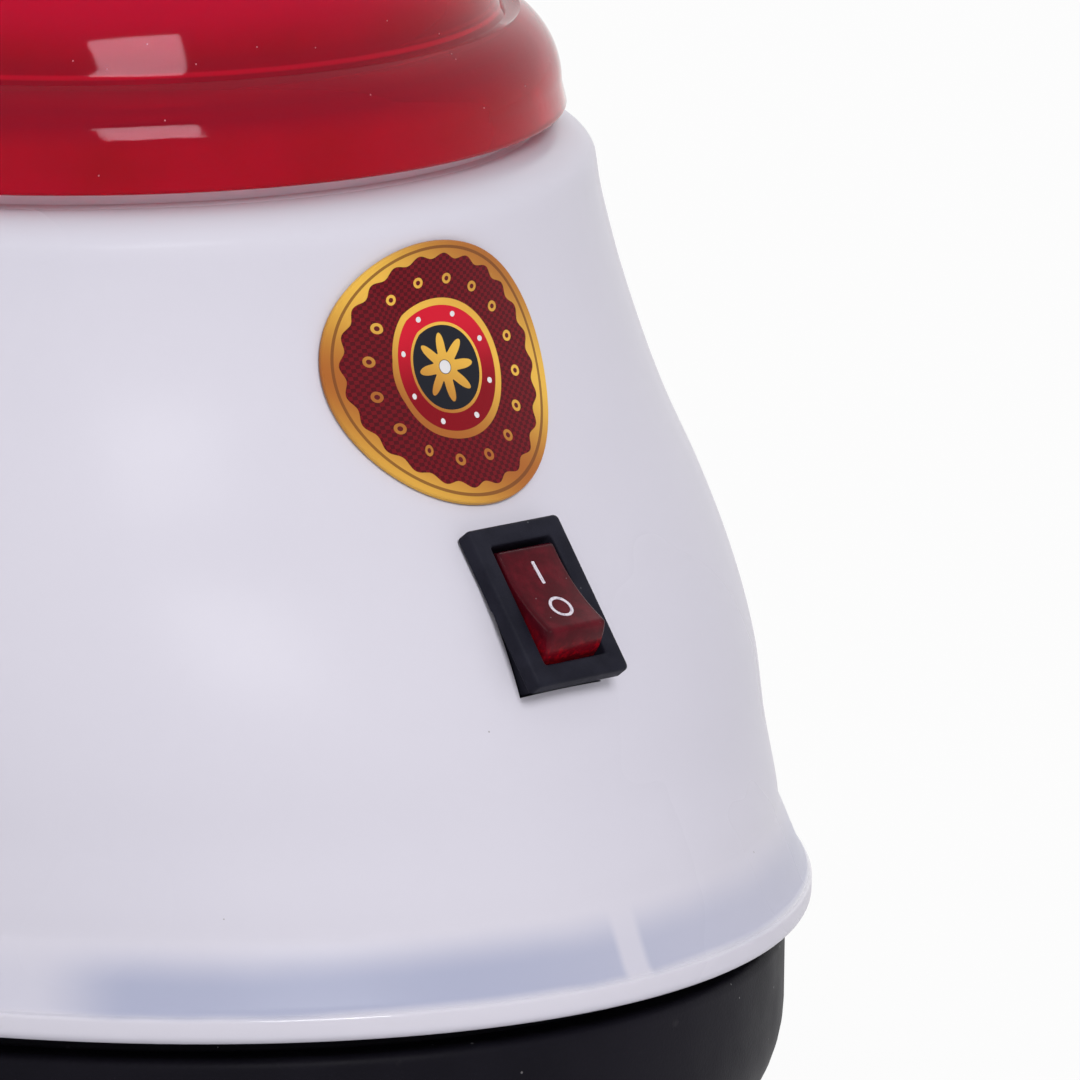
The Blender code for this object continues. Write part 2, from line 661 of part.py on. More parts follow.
def make_body():
    material = new_material("body_white", WHITE, 0.12)
    rings = [(RIM_HALF_WIDTH - RIM_BOTTOM_INSET, RIM_HALF_LENGTH - RIM_BOTTOM_INSET, RIM_BOTTOM_Z),
             (RIM_HALF_WIDTH - RIM_EDGE_INSET, RIM_HALF_LENGTH - RIM_EDGE_INSET, RIM_BOTTOM_Z + RIM_EDGE_RISE)]
    for height in (RIM_BAND_Z, RIM_BAND_TOP_Z):
        rings.append((RIM_HALF_WIDTH, RIM_HALF_LENGTH, height))
    for inset_share, height_share in FLARE_SHARES:
        rings.append((RIM_HALF_WIDTH + (FOOT_HALF_WIDTH - RIM_HALF_WIDTH) * inset_share,
                      RIM_HALF_LENGTH + (FOOT_HALF_LENGTH - RIM_HALF_LENGTH) * inset_share,
                      RIM_BAND_TOP_Z + (WALL_FOOT_Z - RIM_BAND_TOP_Z) * height_share))
    walls = wall_rings()
    rings += walls
    rise = LEDGE_Z - SHOULDER_Z
    for radius, height in arc(SHOULDER_RADIUS - SHOULDER_ROUND, SHOULDER_Z, SHOULDER_ROUND, rise,
                              math.radians(20), math.pi / 2, 4):
        rings.append((radius, radius, height))
    for radius, height in ((COLLAR_RADIUS, LEDGE_Z), (COLLAR_RADIUS, COLLAR_TOP_Z - COLLAR_EDGE),
                           (COLLAR_RADIUS - COLLAR_EDGE, COLLAR_TOP_Z), (COLLAR_BORE, COLLAR_TOP_Z),
                           (COLLAR_BORE, LEDGE_Z - BODY_WALL),
                           (SHOULDER_RADIUS - SHOULDER_ROUND, LEDGE_Z - BODY_WALL)):
        rings.append((radius, radius, height))
    for width, length, height in reversed(walls[::3]):
        rings.append((width - BODY_WALL, length - BODY_WALL, height))
    # The bead inside the wall that rests on the base's neck
    bead_z = NECK_TOP_Z + TOUCH_GAP
    inner_width = FOOT_HALF_WIDTH - BODY_WALL
    inner_length = FOOT_HALF_LENGTH - BODY_WALL
    for depth, height in ((BEAD_DEPTH, bead_z + BEAD_HEIGHT), (BEAD_DEPTH, bead_z), (0, bead_z)):
        rings.append((inner_width - depth, inner_length - depth, height))
    for height in (RIM_BAND_Z, RIM_BOTTOM_Z):
        rings.append((RIM_HALF_WIDTH - BODY_WALL, RIM_HALF_LENGTH - BODY_WALL, height))
    body = oval_loft("body_shell", rings, material, closed=True)

    # A flat seat for the bezel and the opening for the switch box
    opening = box("switch_opening", (BOX_WIDTH + 2 * TOUCH_GAP, BOX_LENGTH + 2 * TOUCH_GAP, BOX_DEPTH),
                  (0, 0, -BOX_DEPTH / 2), collection=cutters)
    boolean(body, put_on_switch(opening))
    seat_low = -BEZEL_THICKNESS - TOUCH_GAP
    seat = box("switch_seat", (BEZEL_WIDTH + 2 * SEAT_MARGIN, BEZEL_LENGTH + 2 * SEAT_MARGIN, SEAT_HEIGHT),
               (0, 0, seat_low + SEAT_HEIGHT / 2), collection=cutters)
    boolean(body, put_on_switch(seat))


def make_plaque():
    # A thin oval plaque that follows the front wall
    material = new_material("plaque_maroon", (0.25, 0.01, 0.03), 0.25, 0.3)

    def wall_point(across, along, lift):
        height = PLAQUE_Z + along
        half_width, half_length = wall_at(height)
        y = -half_length * math.sqrt(1 - (across / half_width) ** 2)
        step = TOUCH_GAP
        above = wall_at(height + step)[1]
        below = wall_at(height - step)[1]
        normal = Vector((across / half_width ** 2, y / half_length ** 2, 0)).normalized()
        normal.z = (below - above) / (2 * step)
        return Vector((across, y, height)) + normal.normalized() * lift

    height_half = PLAQUE_HEIGHT / 2 * math.cos(PLAQUE_LEAN)
    shape = bmesh.new()
    layers = []
    for lift in (TOUCH_GAP, TOUCH_GAP + PLAQUE_THICKNESS):
        rows = []
        for share in PLAQUE_RING_SHARES:
            rows.append([shape.verts.new(wall_point(x, z, lift)) for x, z in
                         arc(0, 0, PLAQUE_WIDTH / 2 * share, height_half * share, 0,
                             2 * math.pi * (1 - 1 / PLAQUE_STEPS), PLAQUE_STEPS - 1)])
        centre = shape.verts.new(wall_point(0, 0, lift))
        layers.append((rows, centre))
    for step in range(PLAQUE_STEPS):
        after = (step + 1) % PLAQUE_STEPS
        for rows, centre in layers:
            for outer, inner in zip(rows, rows[1:]):
                shape.faces.new((outer[step], outer[after], inner[after], inner[step]))
            shape.faces.new((rows[-1][step], rows[-1][after], centre))
        back = layers[0][0][0]
        front = layers[1][0][0]
        shape.faces.new((back[step], back[after], front[after], front[step]))
    add_object("label_plaque", mesh_from_bmesh("label_plaque", shape), material)


# Switch. Its own frame has X to the right, Y up along the face and Z out of the face.

switch_turn = Matrix.Rotation(math.pi / 2 - SWITCH_TILT, 3, "X")
switch_frame = Matrix.Translation((0, SWITCH_Y, SWITCH_Z)) @ switch_turn.to_4x4()
side_on = Matrix(((0, 0, 1), (1, 0, 0), (0, 1, 0)))


def put_on_switch(item, along=0, out=0, tilt=0):
    item.matrix_world = switch_frame @ Matrix.Translation((0, along, out)) @ Matrix.Rotation(tilt, 4, "X")
    bpy.context.view_layer.update()
    return item


def make_switch_housing():
    material = new_material("switch_charcoal", CHARCOAL, 0.4)
    housing = box("switch_housing", (BEZEL_WIDTH, BEZEL_LENGTH, BEZEL_THICKNESS),
                  (0, 0, -BEZEL_THICKNESS / 2), material)
    bevel(put_on_switch(housing), BEZEL_EDGE)
    body_top = -BEZEL_THICKNESS / 2
    body = box("switch_box", (BOX_WIDTH, BOX_LENGTH, BOX_DEPTH + body_top),
               (0, 0, (body_top - BOX_DEPTH) / 2), collection=cutters)
    boolean(housing, put_on_switch(body), "UNION")
    cavity_floor = -BOX_DEPTH + BOX_FLOOR
    cavity = box("switch_cavity", (WINDOW_WIDTH, WINDOW_LENGTH, OVERRUN - cavity_floor),
                 (0, 0, (OVERRUN + cavity_floor) / 2), collection=cutters)
    boolean(housing, put_on_switch(cavity))
    slots = []
    for index in (-1, 0, 1):
        slot = (TERMINAL_WIDTH + 2 * TOUCH_GAP, TERMINAL_THICKNESS + 2 * TOUCH_GAP, OVERRUN * 2)
        slots.append(box("slot", slot, (0, index * TERMINAL_PITCH, -BOX_DEPTH + BOX_FLOOR / 2)))
    pivot = cylinder("pivot_hole", PIN_RADIUS + TOUCH_GAP, -BOX_WIDTH, BOX_WIDTH)
    slots.append(place(pivot, (0, 0, -ROCKER_PIVOT_DEPTH), Matrix.Rotation(math.pi / 2, 3, "Y")))
    holes = join("switch_slots", slots, None, cutters)
    boolean(housing, put_on_switch(holes))


def make_rocker():
    # In its own frame the rocker is symmetric about its pivot, and at rest it is tilted so that
    # its top end is pressed in.
    material = new_material("rocker_red", (0.12, 0.004, 0.008), 0.2, 0.0, 0.3)
    reach = WINDOW_LENGTH / 2 - TOUCH_GAP
    right = arc(0, 0, reach, reach, ROCKER_HEEL, ROCKER_CORNER, 5)
    corner_x, corner_y = right[-1]
    dish = []
    for share in ROCKER_DISH_SHARES:
        dish.append((corner_x * share, corner_y - ROCKER_DISH * (1 - share * share)))
    left = [(-x, y) for x, y in reversed(right)]
    keel_y = ROCKER_PIVOT_DEPTH - ROCKER_KEEL_DEPTH
    outline = right + dish + left + [(-ROCKER_KEEL_HALF, keel_y), (ROCKER_KEEL_HALF, keel_y)]
    width = WINDOW_WIDTH - 2 * TOUCH_GAP
    rocker = plate("switch_rocker", outline, width, material, side_on)
    put_on_switch(rocker, out=-ROCKER_PIVOT_DEPTH, tilt=-ROCKER_TRAVEL / 2)
    pin_end = width / 2 + PIN_REACH
    pins = cylinder("rocker_pins", PIN_RADIUS, -pin_end, pin_end, collection=cutters)
    pins.data.transform(Matrix.Rotation(math.pi / 2, 4, "Y"))
    boolean(rocker, put_on_switch(pins, out=-ROCKER_PIVOT_DEPTH), "UNION")
    socket = cylinder("plunger_socket", PLUNGER_RADIUS + TOUCH_GAP, keel_y - OVERRUN,
                      keel_y + PLUNGER_SOCKET_DEPTH, collection=cutters)
    boolean(rocker, put_on_switch(socket, out=-ROCKER_PIVOT_DEPTH, tilt=-ROCKER_TRAVEL / 2))

    steel = new_material("plunger_steel", STEEL, 0.3, 1.0)
    tip = ROCKER_PIVOT_DEPTH - PLUNGER_TIP_DEPTH
    top = keel_y + PLUNGER_SOCKET_DEPTH - TOUCH_GAP
    profile = [(0, top), (PLUNGER_RADIUS, top), (PLUNGER_RADIUS, tip + PLUNGER_RADIUS)]
    profile += arc(0, tip + PLUNGER_RADIUS, PLUNGER_RADIUS, -PLUNGER_RADIUS, math.radians(30), math.pi / 2, 2)
    profile[-1] = (0, tip)
    plunger = turned("rocker_plunger", profile, steel, SMALL_STEPS)
    put_on_switch(plunger, out=-ROCKER_PIVOT_DEPTH, tilt=-ROCKER_TRAVEL / 2)


def make_switch_inside():
    copper = new_material("contact_copper", (0.6, 0.3, 0.15), 0.3, 1.0)
    lever = box("contact_lever", (LEVER_WIDTH, LEVER_LENGTH, LEVER_THICKNESS), (0, 0, 0), copper)
    put_on_switch(lever, out=-LEVER_DEPTH, tilt=ROCKER_TRAVEL * LEVER_RATIO / 2)
    brass = new_material("terminal_brass", BRASS, 0.3, 1.0)
    for number, index in enumerate((-1, 0, 1), 1):
        top = TERMINAL_SIDE_DEPTH if index else TERMINAL_MIDDLE_DEPTH
        size = (TERMINAL_WIDTH, TERMINAL_THICKNESS, TERMINAL_TIP_DEPTH - top)
        centre = (0, index * TERMINAL_PITCH, -(TERMINAL_TIP_DEPTH + top) / 2)
        put_on_switch(box(f"switch_terminal_{number}", size, centre, brass))
    glass = new_material("lamp_glass", (0.8, 0.4, 0.3), 0.05, 0.0, 0.8)
    lamp = cylinder("neon_lamp", LAMP_RADIUS, -LAMP_LENGTH / 2, LAMP_LENGTH / 2, glass)
    lamp.data.transform(Matrix.Rotation(math.pi / 2, 4, "X"))
    lamp.data.transform(Matrix.Translation((LAMP_OFFSET, 0, 0)))
    put_on_switch(lamp, out=-LAMP_DEPTH)


# Well, pot and grips

def cup_profile(radius, wall, bottom, corner, flange_radius, flange_z, flange):
    # From the middle of the inner floor, up the inside, over the flange and down the outside
    inner_corner = corner - wall
    inside = arc(radius - corner, bottom + corner, inner_corner, -inner_corner, math.pi / 2, 0, 3)
    outside = arc(radius - corner, bottom + corner, corner, -corner, 0, math.pi / 2, 3)
    top = flange_z + flange
    rim = [(radius - wall, top), (flange_radius, top), (flange_radius, flange_z), (radius, flange_z)]
    return [(0, bottom + wall)] + inside + rim + outside + [(0, bottom)]


def make_well():
    material = new_material("well_aluminium", ALUMINIUM, 0.35, 1.0)
    turned("heating_well", cup_profile(WELL_RADIUS, WELL_WALL, WELL_BOTTOM_Z, WELL_CORNER,
                                       WELL_FLANGE_RADIUS, WELL_FLANGE_Z, WELL_FLANGE), material)


def make_pot():
    material = new_material("pot_aluminium", ALUMINIUM, 0.25, 1.0)
    pot = turned("wax_pot", cup_profile(POT_RADIUS, POT_WALL, POT_BOTTOM_Z, POT_CORNER,
                                        POT_FLANGE_RADIUS, POT_FLANGE_Z, POT_FLANGE), material)
    inner = POT_RADIUS - POT_WALL
    grip_y = inner - GRIP_SETBACK - GRIP_THICKNESS / 2
    drills = []
    for side in (-1, 1):
        for x in (-RIVET_PITCH / 2, RIVET_PITCH / 2):
            drill = cylinder("rivet_drill", RIVET_RADIUS + TOUCH_GAP, -BOX_DEPTH / 2, BOX_DEPTH / 2)
            place(drill, (x, side * inner, RIVET_Z), Matrix.Rotation(math.pi / 2, 3, "X"))
            drills.append(drill)
    drill = join("rivet_drills", drills, None, cutters)
    boolean(pot, drill)

    grip_material = new_material("grip_black", BLACK, 0.4)
    height = GRIP_TOP_Z - GRIP_BOTTOM_Z
    outline = rounded_rectangle(GRIP_WIDTH, height, GRIP_ROUND)
    upright = Matrix(((1, 0, 0), (0, 0, -1), (0, 1, 0)))
    for number, side in enumerate((-1, 1), 1):
        grip = plate(f"pot_grip_{number}", outline, GRIP_THICKNESS, grip_material, upright)
        place(grip, (0, side * grip_y, (GRIP_TOP_Z + GRIP_BOTTOM_Z) / 2))
        boolean(grip, drill)

    # Each rivet runs from the grip's inner face through the pot's wall
    rivet_material = new_material("rivet_aluminium", ALUMINIUM, 0.3, 1.0)
    half_span = RIVET_PITCH / 2
    wall_outside = math.sqrt(POT_RADIUS ** 2 - (half_span - RIVET_HEAD) ** 2)
    outer = wall_outside + TOUCH_GAP
    inner_face = grip_y - GRIP_THICKNESS / 2 - TOUCH_GAP
    profile = ((0, outer + RIVET_HEAD_THICKNESS), (RIVET_HEAD / 2, outer + RIVET_HEAD_THICKNESS),
               (RIVET_HEAD - TOUCH_GAP, outer), (RIVET_RADIUS, outer), (RIVET_RADIUS, inner_face),
               (RIVET_HEAD, inner_face), (RIVET_HEAD / 2, inner_face - RIVET_HEAD_THICKNESS),
               (0, inner_face - RIVET_HEAD_THICKNESS))
    places = [(side, x) for side in (-1, 1) for x in (-half_span, half_span)]
    for number, (side, x) in enumerate(places, 1):
        rivet = turned(f"pot_rivet_{number}", profile, rivet_material, TINY_STEPS)
        place(rivet, (x, 0, RIVET_Z), Matrix.Rotation(-side * math.pi / 2, 3, "X"))


# Lid and knob

def make_lid():
    material = new_material("lid_red", RED, 0.06, 0.0, 0.85)

    def skin(inset, steps):
        round_radius = LID_SHOULDER_ROUND - inset
        shoulder = arc(LID_RADIUS - LID_DRAFT - LID_SHOULDER_ROUND, LID_SHOULDER_Z, round_radius, round_radius,
                       LID_SHOULDER_END, 0, 3)
        valley = [(VALLEY_INNER - inset / 2, VALLEY_Z - inset), (VALLEY_OUTER - inset / 2, VALLEY_Z - inset)]
        land = [(KNOB_HOLE, DOME_TOP_Z - inset), (KNOB_BASE_RADIUS, DOME_TOP_Z - inset)]
        dome = arc(0, DOME_CENTRE_Z, DOME_RADIUS - inset, DOME_HEIGHT - inset, DOME_END, DOME_START, steps)
        return land + dome + valley + shoulder + [(LID_RADIUS - inset, LID_BOTTOM_Z)]

    outside = skin(0, 7)
    inside = skin(LID_WALL, 5)
    turned("lid_shell", outside + list(reversed(inside)), material, closed=True)

    knob_material = new_material("knob_black", BLACK, 0.25)
    head_z = KNOB_Z + KNOB_HEIGHT
    profile = [(0, head_z)] + arc(0, head_z - KNOB_HEIGHT / 3, KNOB_RADIUS, KNOB_HEIGHT / 3,
                                  math.radians(70), math.radians(-25), 5)
    profile += [(KNOB_NECK_RADIUS, KNOB_Z + KNOB_HEIGHT / 3), (KNOB_BASE_RADIUS, KNOB_Z + BASE_EDGE),
                (KNOB_BASE_RADIUS, KNOB_Z), (KNOB_HOLE, KNOB_Z), (KNOB_HOLE, KNOB_Z + KNOB_SOCKET),
                (0, KNOB_Z + KNOB_SOCKET)]
    turned("lid_knob", profile, knob_material, 24)

    steel = new_material("knob_screw_steel", STEEL, 0.3, 1.0)
    washer_top = DOME_TOP_Z - LID_WALL - TOUCH_GAP
    washer_low = washer_top - WASHER_THICKNESS
    turned("lid_washer", ((WASHER_RADIUS, washer_top), (WASHER_RADIUS, washer_low), (KNOB_HOLE, washer_low),
                          (KNOB_HOLE, washer_top)), steel.copy(), SMALL_STEPS, closed=True)
    head_top = washer_low - TOUCH_GAP
    tip = KNOB_Z + KNOB_SOCKET - TOUCH_GAP
    head_low = head_top - SCREW_HEAD_HEIGHT
    turned("lid_knob_screw", ((0, tip), (KNOB_SCREW_RADIUS, tip), (KNOB_SCREW_RADIUS, head_top),
                              (SCREW_HEAD_RADIUS, head_top), (SCREW_HEAD_RADIUS / 2, head_low),
                              (0, head_low)), steel, SMALL_STEPS)


# Heater stack: stud, heater, bracket, nuts and tie screws

def make_heater_stack():
    steel = new_material("stud_steel", STEEL, 0.35, 1.0)
    foot_z = HEATER_TOP_Z - STUD_FOOT
    turned("weld_stud", ((0, HEATER_TOP_Z), (STUD_FOOT_RADIUS, HEATER_TOP_Z), (STUD_FOOT_RADIUS, foot_z),
                         (STUD_RADIUS, foot_z), (STUD_RADIUS, STUD_END_Z), (0, STUD_END_Z)), steel, SMALL_STEPS)
    heater = new_material("heater_mica", (0.35, 0.25, 0.15), 0.6)
    low = HEATER_TOP_Z - HEATER_THICKNESS
    turned("heater_disc", ((HEATER_RADIUS, HEATER_TOP_Z), (HEATER_RADIUS, low), (HEATER_BORE, low),
                           (HEATER_BORE, HEATER_TOP_Z)), heater, 32, closed=True)

    bracket_material = new_material("bracket_steel", STEEL, 0.4, 1.0)
    bracket = cylinder("bracket_plate", BRACKET_RADIUS, BRACKET_Z, BRACKET_TOP_Z, bracket_material, 32)
    holes = [cylinder("stud_hole", STUD_RADIUS + HOLE_SLACK, BRACKET_Z - OVERRUN, BRACKET_TOP_Z + OVERRUN)]
    for x, y in tie_places:
        hole = cylinder("tie_hole", CLEAR_HOLE, BRACKET_Z - OVERRUN, BRACKET_TOP_Z + OVERRUN)
        holes.append(place(hole, (x, y, 0)))
    for x, y in small_screw_places():
        hole = cylinder("small_hole", SMALL_HOLE, BRACKET_Z - OVERRUN, BRACKET_TOP_Z + OVERRUN, steps=TINY_STEPS)
        holes.append(place(hole, (x, y, 0)))
    boolean(bracket, join("bracket_holes", holes, None, cutters))

    nut_steel = new_material("nut_steel", STEEL, 0.3, 1.0)
    nut_top = BRACKET_Z - TOUCH_GAP
    hex_prism("stud_nut", STUD_NUT_FLATS, nut_top - NUT_HEIGHT, nut_top, STUD_RADIUS + HOLE_SLACK, nut_steel)

    tie_steel = new_material("tie_steel", STEEL, 0.3, 1.0)
    head_top = TIE_RECESS_Z - TOUCH_GAP
    profile = ((0, TIE_END_Z), (TIE_RADIUS, TIE_END_Z), (TIE_RADIUS, head_top), (TIE_HEAD_RADIUS, head_top),
               (TIE_HEAD_RADIUS, head_top - TIE_HEAD), (0, head_top - TIE_HEAD))
    for number, (x, y) in enumerate(tie_places, 1):
        place(turned(f"tie_screw_{number}", profile, tie_steel, TINY_STEPS), (x, y, 0))

    low_nut = BRACKET_TOP_Z + TOUCH_GAP
    shield_nut = SHIELD_Z + SHIELD_WALL + TOUCH_GAP
    for name, level in (("tie_nut", low_nut), ("shield_nut", shield_nut)):
        for number, (x, y) in enumerate(tie_places, 1):
            nut = hex_prism(f"{name}_{number}", TIE_NUT_FLATS, level, level + TIE_NUT_HEIGHT, CLEAR_HOLE,
                            nut_steel)
            place(bake(nut), (x, y, 0))


def make_shield():
    material = new_material("shield_aluminium", ALUMINIUM, 0.3, 1.0)
    top = SHIELD_Z + SHIELD_LIP
    profile = ((SHIELD_RADIUS, top), (SHIELD_RADIUS, SHIELD_Z), (SHIELD_BORE, SHIELD_Z),
               (SHIELD_BORE, SHIELD_Z + SHIELD_WALL), (SHIELD_RADIUS - SHIELD_WALL, SHIELD_Z + SHIELD_WALL),
               (SHIELD_RADIUS - SHIELD_WALL, top))
    shield = turned("heat_shield", profile, material, 32, closed=True)
    holes = []
    for x, y in tie_places:
        hole = cylinder("shield_hole", CLEAR_HOLE, SHIELD_Z - OVERRUN, SHIELD_Z + OVERRUN, steps=TINY_STEPS)
        holes.append(place(hole, (x, y, 0)))
    boolean(shield, join("shield_holes", holes, None, cutters))


# Thermostat and fuse, screwed under the bracket

def small_screw_places():
    thermostat = [(THERMOSTAT_X + side * THERMOSTAT_PITCH / 2, THERMOSTAT_Y) for side in (-1, 1)]
    return thermostat + [clip_screw_place()]


def clip_screw_place():
    return FUSE_X, FUSE_Y + FUSE_RADIUS + CLIP_SHEET + CLIP_EAR / 2


def small_screw(name, low_z, material):
    # Screwed upwards: its head is below the sheet that it holds
    tip = BRACKET_TOP_Z + SCREW_TIP_CLEARANCE
    profile = ((0, tip), (SMALL_SCREW_RADIUS, tip), (SMALL_SCREW_RADIUS, low_z), (SMALL_HEAD_RADIUS, low_z),
               (SMALL_HEAD_RADIUS, low_z - SMALL_HEAD), (0, low_z - SMALL_HEAD))
    return turned(name, profile, material, TINY_STEPS)


def make_thermostat():
    material = new_material("thermostat_bakelite", (0.08, 0.05, 0.04), 0.5)
    top = BRACKET_Z - TOUCH_GAP
    low = top - THERMOSTAT_EAR
    body = cylinder("thermostat", THERMOSTAT_RADIUS, top - THERMOSTAT_DEPTH, top, material, 16)
    place(body, (THERMOSTAT_X, THERMOSTAT_Y, 0))
    ears = box("thermostat_ears", (THERMOSTAT_EAR_LENGTH, THERMOSTAT_EAR_WIDTH, THERMOSTAT_EAR - MERGE),
               (THERMOSTAT_X, THERMOSTAT_Y, low + THERMOSTAT_EAR / 2), collection=cutters)
    boolean(body, ears, "UNION")
    drills = []
    for side in (-1, 1):
        drill = cylinder("ear_hole", SMALL_HOLE, low - OVERRUN, top + OVERRUN, steps=TINY_STEPS)
        drills.append(place(drill, (THERMOSTAT_X + side * THERMOSTAT_PITCH / 2, THERMOSTAT_Y, 0)))
    boolean(body, join("ear_holes", drills, None, cutters))

    steel = new_material("thermostat_screw_steel", STEEL, 0.3, 1.0)
    for number, side in enumerate((-1, 1), 1):
        screw = small_screw(f"thermostat_screw_{number}", low - TOUCH_GAP, steel)
        place(screw, (THERMOSTAT_X + side * THERMOSTAT_PITCH / 2, THERMOSTAT_Y, 0))


def make_fuse():
    ceramic = new_material("fuse_ceramic", (0.75, 0.72, 0.65), 0.5)
    fuse_z = BRACKET_Z - 2 * TOUCH_GAP - FUSE_RADIUS
    half = FUSE_LENGTH / 2
    profile = ((0, half + FUSE_LEG), (FUSE_LEG_RADIUS, half + FUSE_LEG), (FUSE_LEG_RADIUS, half),
               (FUSE_RADIUS, half), (FUSE_RADIUS, -half), (FUSE_LEG_RADIUS, -half),
               (FUSE_LEG_RADIUS, -half - FUSE_LEG), (0, -half - FUSE_LEG))
    fuse = turned("thermal_fuse", profile, ceramic, SMALL_STEPS)
    place(fuse, (FUSE_X, FUSE_Y, fuse_z), Matrix.Rotation(math.pi / 2, 3, "Y"))

    # A strap that hangs under the fuse and is screwed up at one side
    steel = new_material("clip_steel", STEEL, 0.35, 1.0)
    inner = FUSE_RADIUS + TOUCH_GAP
    outer = inner + CLIP_SHEET
    top = BRACKET_Z - TOUCH_GAP - fuse_z
    ear_end = outer + CLIP_EAR
    outline = arc(0, 0, inner, inner, math.pi, 2 * math.pi, 8)
    outline += [(inner, top), (ear_end, top), (ear_end, top - CLIP_SHEET), (outer, top - CLIP_SHEET)]
    outline += arc(0, 0, outer, outer, 2 * math.pi, math.pi, 8)
    outline += [(-outer, top - CLIP_SHEET), (-inner, top - CLIP_SHEET)]
    clip = plate("fuse_clip", outline, CLIP_WIDTH, steel, side_on)
    place(clip, (FUSE_X, FUSE_Y, fuse_z))
    screw_x, screw_y = clip_screw_place()
    drill = cylinder("clip_hole", SMALL_HOLE, BRACKET_Z - 2 * OVERRUN, BRACKET_Z, steps=TINY_STEPS,
                     collection=cutters)
    boolean(clip, place(drill, (screw_x, screw_y, 0)))
    screw = small_screw("fuse_clip_screw", BRACKET_Z - 2 * TOUCH_GAP - CLIP_SHEET, steel)
    place(screw, (screw_x, screw_y, 0))


# Terminal block

def block_wire_x(index):
    return BLOCK_X + index * BLOCK_PITCH


def make_block():
    material = new_material("block_white", (0.7, 0.7, 0.68), 0.5)
    low = FLOOR_TOP_Z + TOUCH_GAP
    top = low + BLOCK_HEIGHT
    block = box("terminal_block", (BLOCK_LENGTH, BLOCK_WIDTH, BLOCK_HEIGHT),
                (BLOCK_X, BLOCK_Y, low + BLOCK_HEIGHT / 2), material)
    brass = new_material("block_screw_brass", BRASS, 0.3, 1.0)
    drills = []
    for number, index in enumerate((-1, 0, 1), 1):
        bore = cylinder("wire_bore", BLOCK_BORE, -BLOCK_WIDTH, BLOCK_WIDTH, steps=TINY_STEPS)
        middle = (block_wire_x(index), BLOCK_Y, BLOCK_WIRE_Z)
        drills.append(place(bore, middle, Matrix.Rotation(math.pi / 2, 3, "X")))
        well = cylinder("screw_bore", BLOCK_SCREW_RADIUS + TOUCH_GAP, BLOCK_WIRE_Z + BLOCK_BORE + TOUCH_GAP,
                        top + OVERRUN, steps=TINY_STEPS)
        drills.append(place(well, (block_wire_x(index), BLOCK_Y, 0)))
        screw_top = top - TOUCH_GAP
        screw = cylinder(f"block_screw_{number}", BLOCK_SCREW_RADIUS, screw_top - BLOCK_SCREW_LENGTH, screw_top,
                         brass, TINY_STEPS)
        place(screw, (block_wire_x(index), BLOCK_Y, 0))
    boolean(block, join("block_bores", drills, None, cutters))


# Cord gland and clamp

def make_gland():
    material = new_material("gland_rubber", BLACK, 0.6)
    lip_top = -(BASE_WALL + GLAND_LIP_CLEARANCE)
    profile = ((GLAND_FLANGE_RADIUS - BEZEL_EDGE, TOUCH_GAP + GLAND_FLANGE),
               (GLAND_FLANGE_RADIUS, TOUCH_GAP + GLAND_FLANGE / 2), (GLAND_FLANGE_RADIUS, TOUCH_GAP),
               (GLAND_NECK_RADIUS, TOUCH_GAP), (GLAND_NECK_RADIUS, lip_top), (GLAND_LIP_RADIUS, lip_top),
               (GLAND_NECK_RADIUS, lip_top - GLAND_LIP), (GLAND_BORE, lip_top - GLAND_LIP),
               (GLAND_BORE, TOUCH_GAP + GLAND_FLANGE))
    gland = turned("cord_gland", profile, material, SMALL_STEPS, closed=True)
    place(gland, (0, GLAND_SEAT_Y, GLAND_Z), Matrix.Rotation(-math.pi / 2, 3, "X"))


def make_clamp():
    material = new_material("clamp_nylon", BLACK, 0.5)
    foot = CLAMP_BOSS_Z + TOUCH_GAP
    arch_top = CLAMP_ARCH + CLAMP_SHEET
    outline = [(-CLAMP_EAR, foot), (-CLAMP_ARCH, foot)]
    outline += arc(0, foot + CLAMP_ARCH / 2, CLAMP_ARCH, CLAMP_ARCH, math.pi, 0, 8)
    outline += [(CLAMP_ARCH, foot), (CLAMP_EAR, foot), (CLAMP_EAR, foot + CLAMP_SHEET),
                (arch_top, foot + CLAMP_SHEET)]
    outline += arc(0, foot + CLAMP_ARCH / 2, arch_top, arch_top, math.radians(15), math.radians(165), 8)
    outline += [(-arch_top, foot + CLAMP_SHEET), (-CLAMP_EAR, foot + CLAMP_SHEET)]
    upright = Matrix(((1, 0, 0), (0, 0, -1), (0, 1, 0)))
    clamp = plate("cord_clamp", outline, CLAMP_WIDTH, material, upright)
    place(clamp, (0, CLAMP_Y, 0))
    steel = new_material("clamp_screw_steel", STEEL, 0.3, 1.0)
    drills = []
    head = foot + CLAMP_SHEET + TOUCH_GAP
    profile = ((0, head + SMALL_HEAD), (SMALL_HEAD_RADIUS, head + SMALL_HEAD), (SMALL_HEAD_RADIUS, head),
               (SMALL_SCREW_RADIUS, head), (SMALL_SCREW_RADIUS, CLAMP_SCREW_END_Z), (0, CLAMP_SCREW_END_Z))
    for number, side in enumerate((-1, 1), 1):
        drill = cylinder("clamp_drill", SMALL_HOLE, foot - OVERRUN / 2, head + OVERRUN, steps=TINY_STEPS)
        drills.append(place(drill, (side * CLAMP_X, CLAMP_Y, 0)))
        place(turned(f"clamp_screw_{number}", profile, steel, TINY_STEPS), (side * CLAMP_X, CLAMP_Y, 0))
    boolean(clamp, join("clamp_drills", drills, None, cutters))


# Internal leads: smooth tubes through points chosen by hand

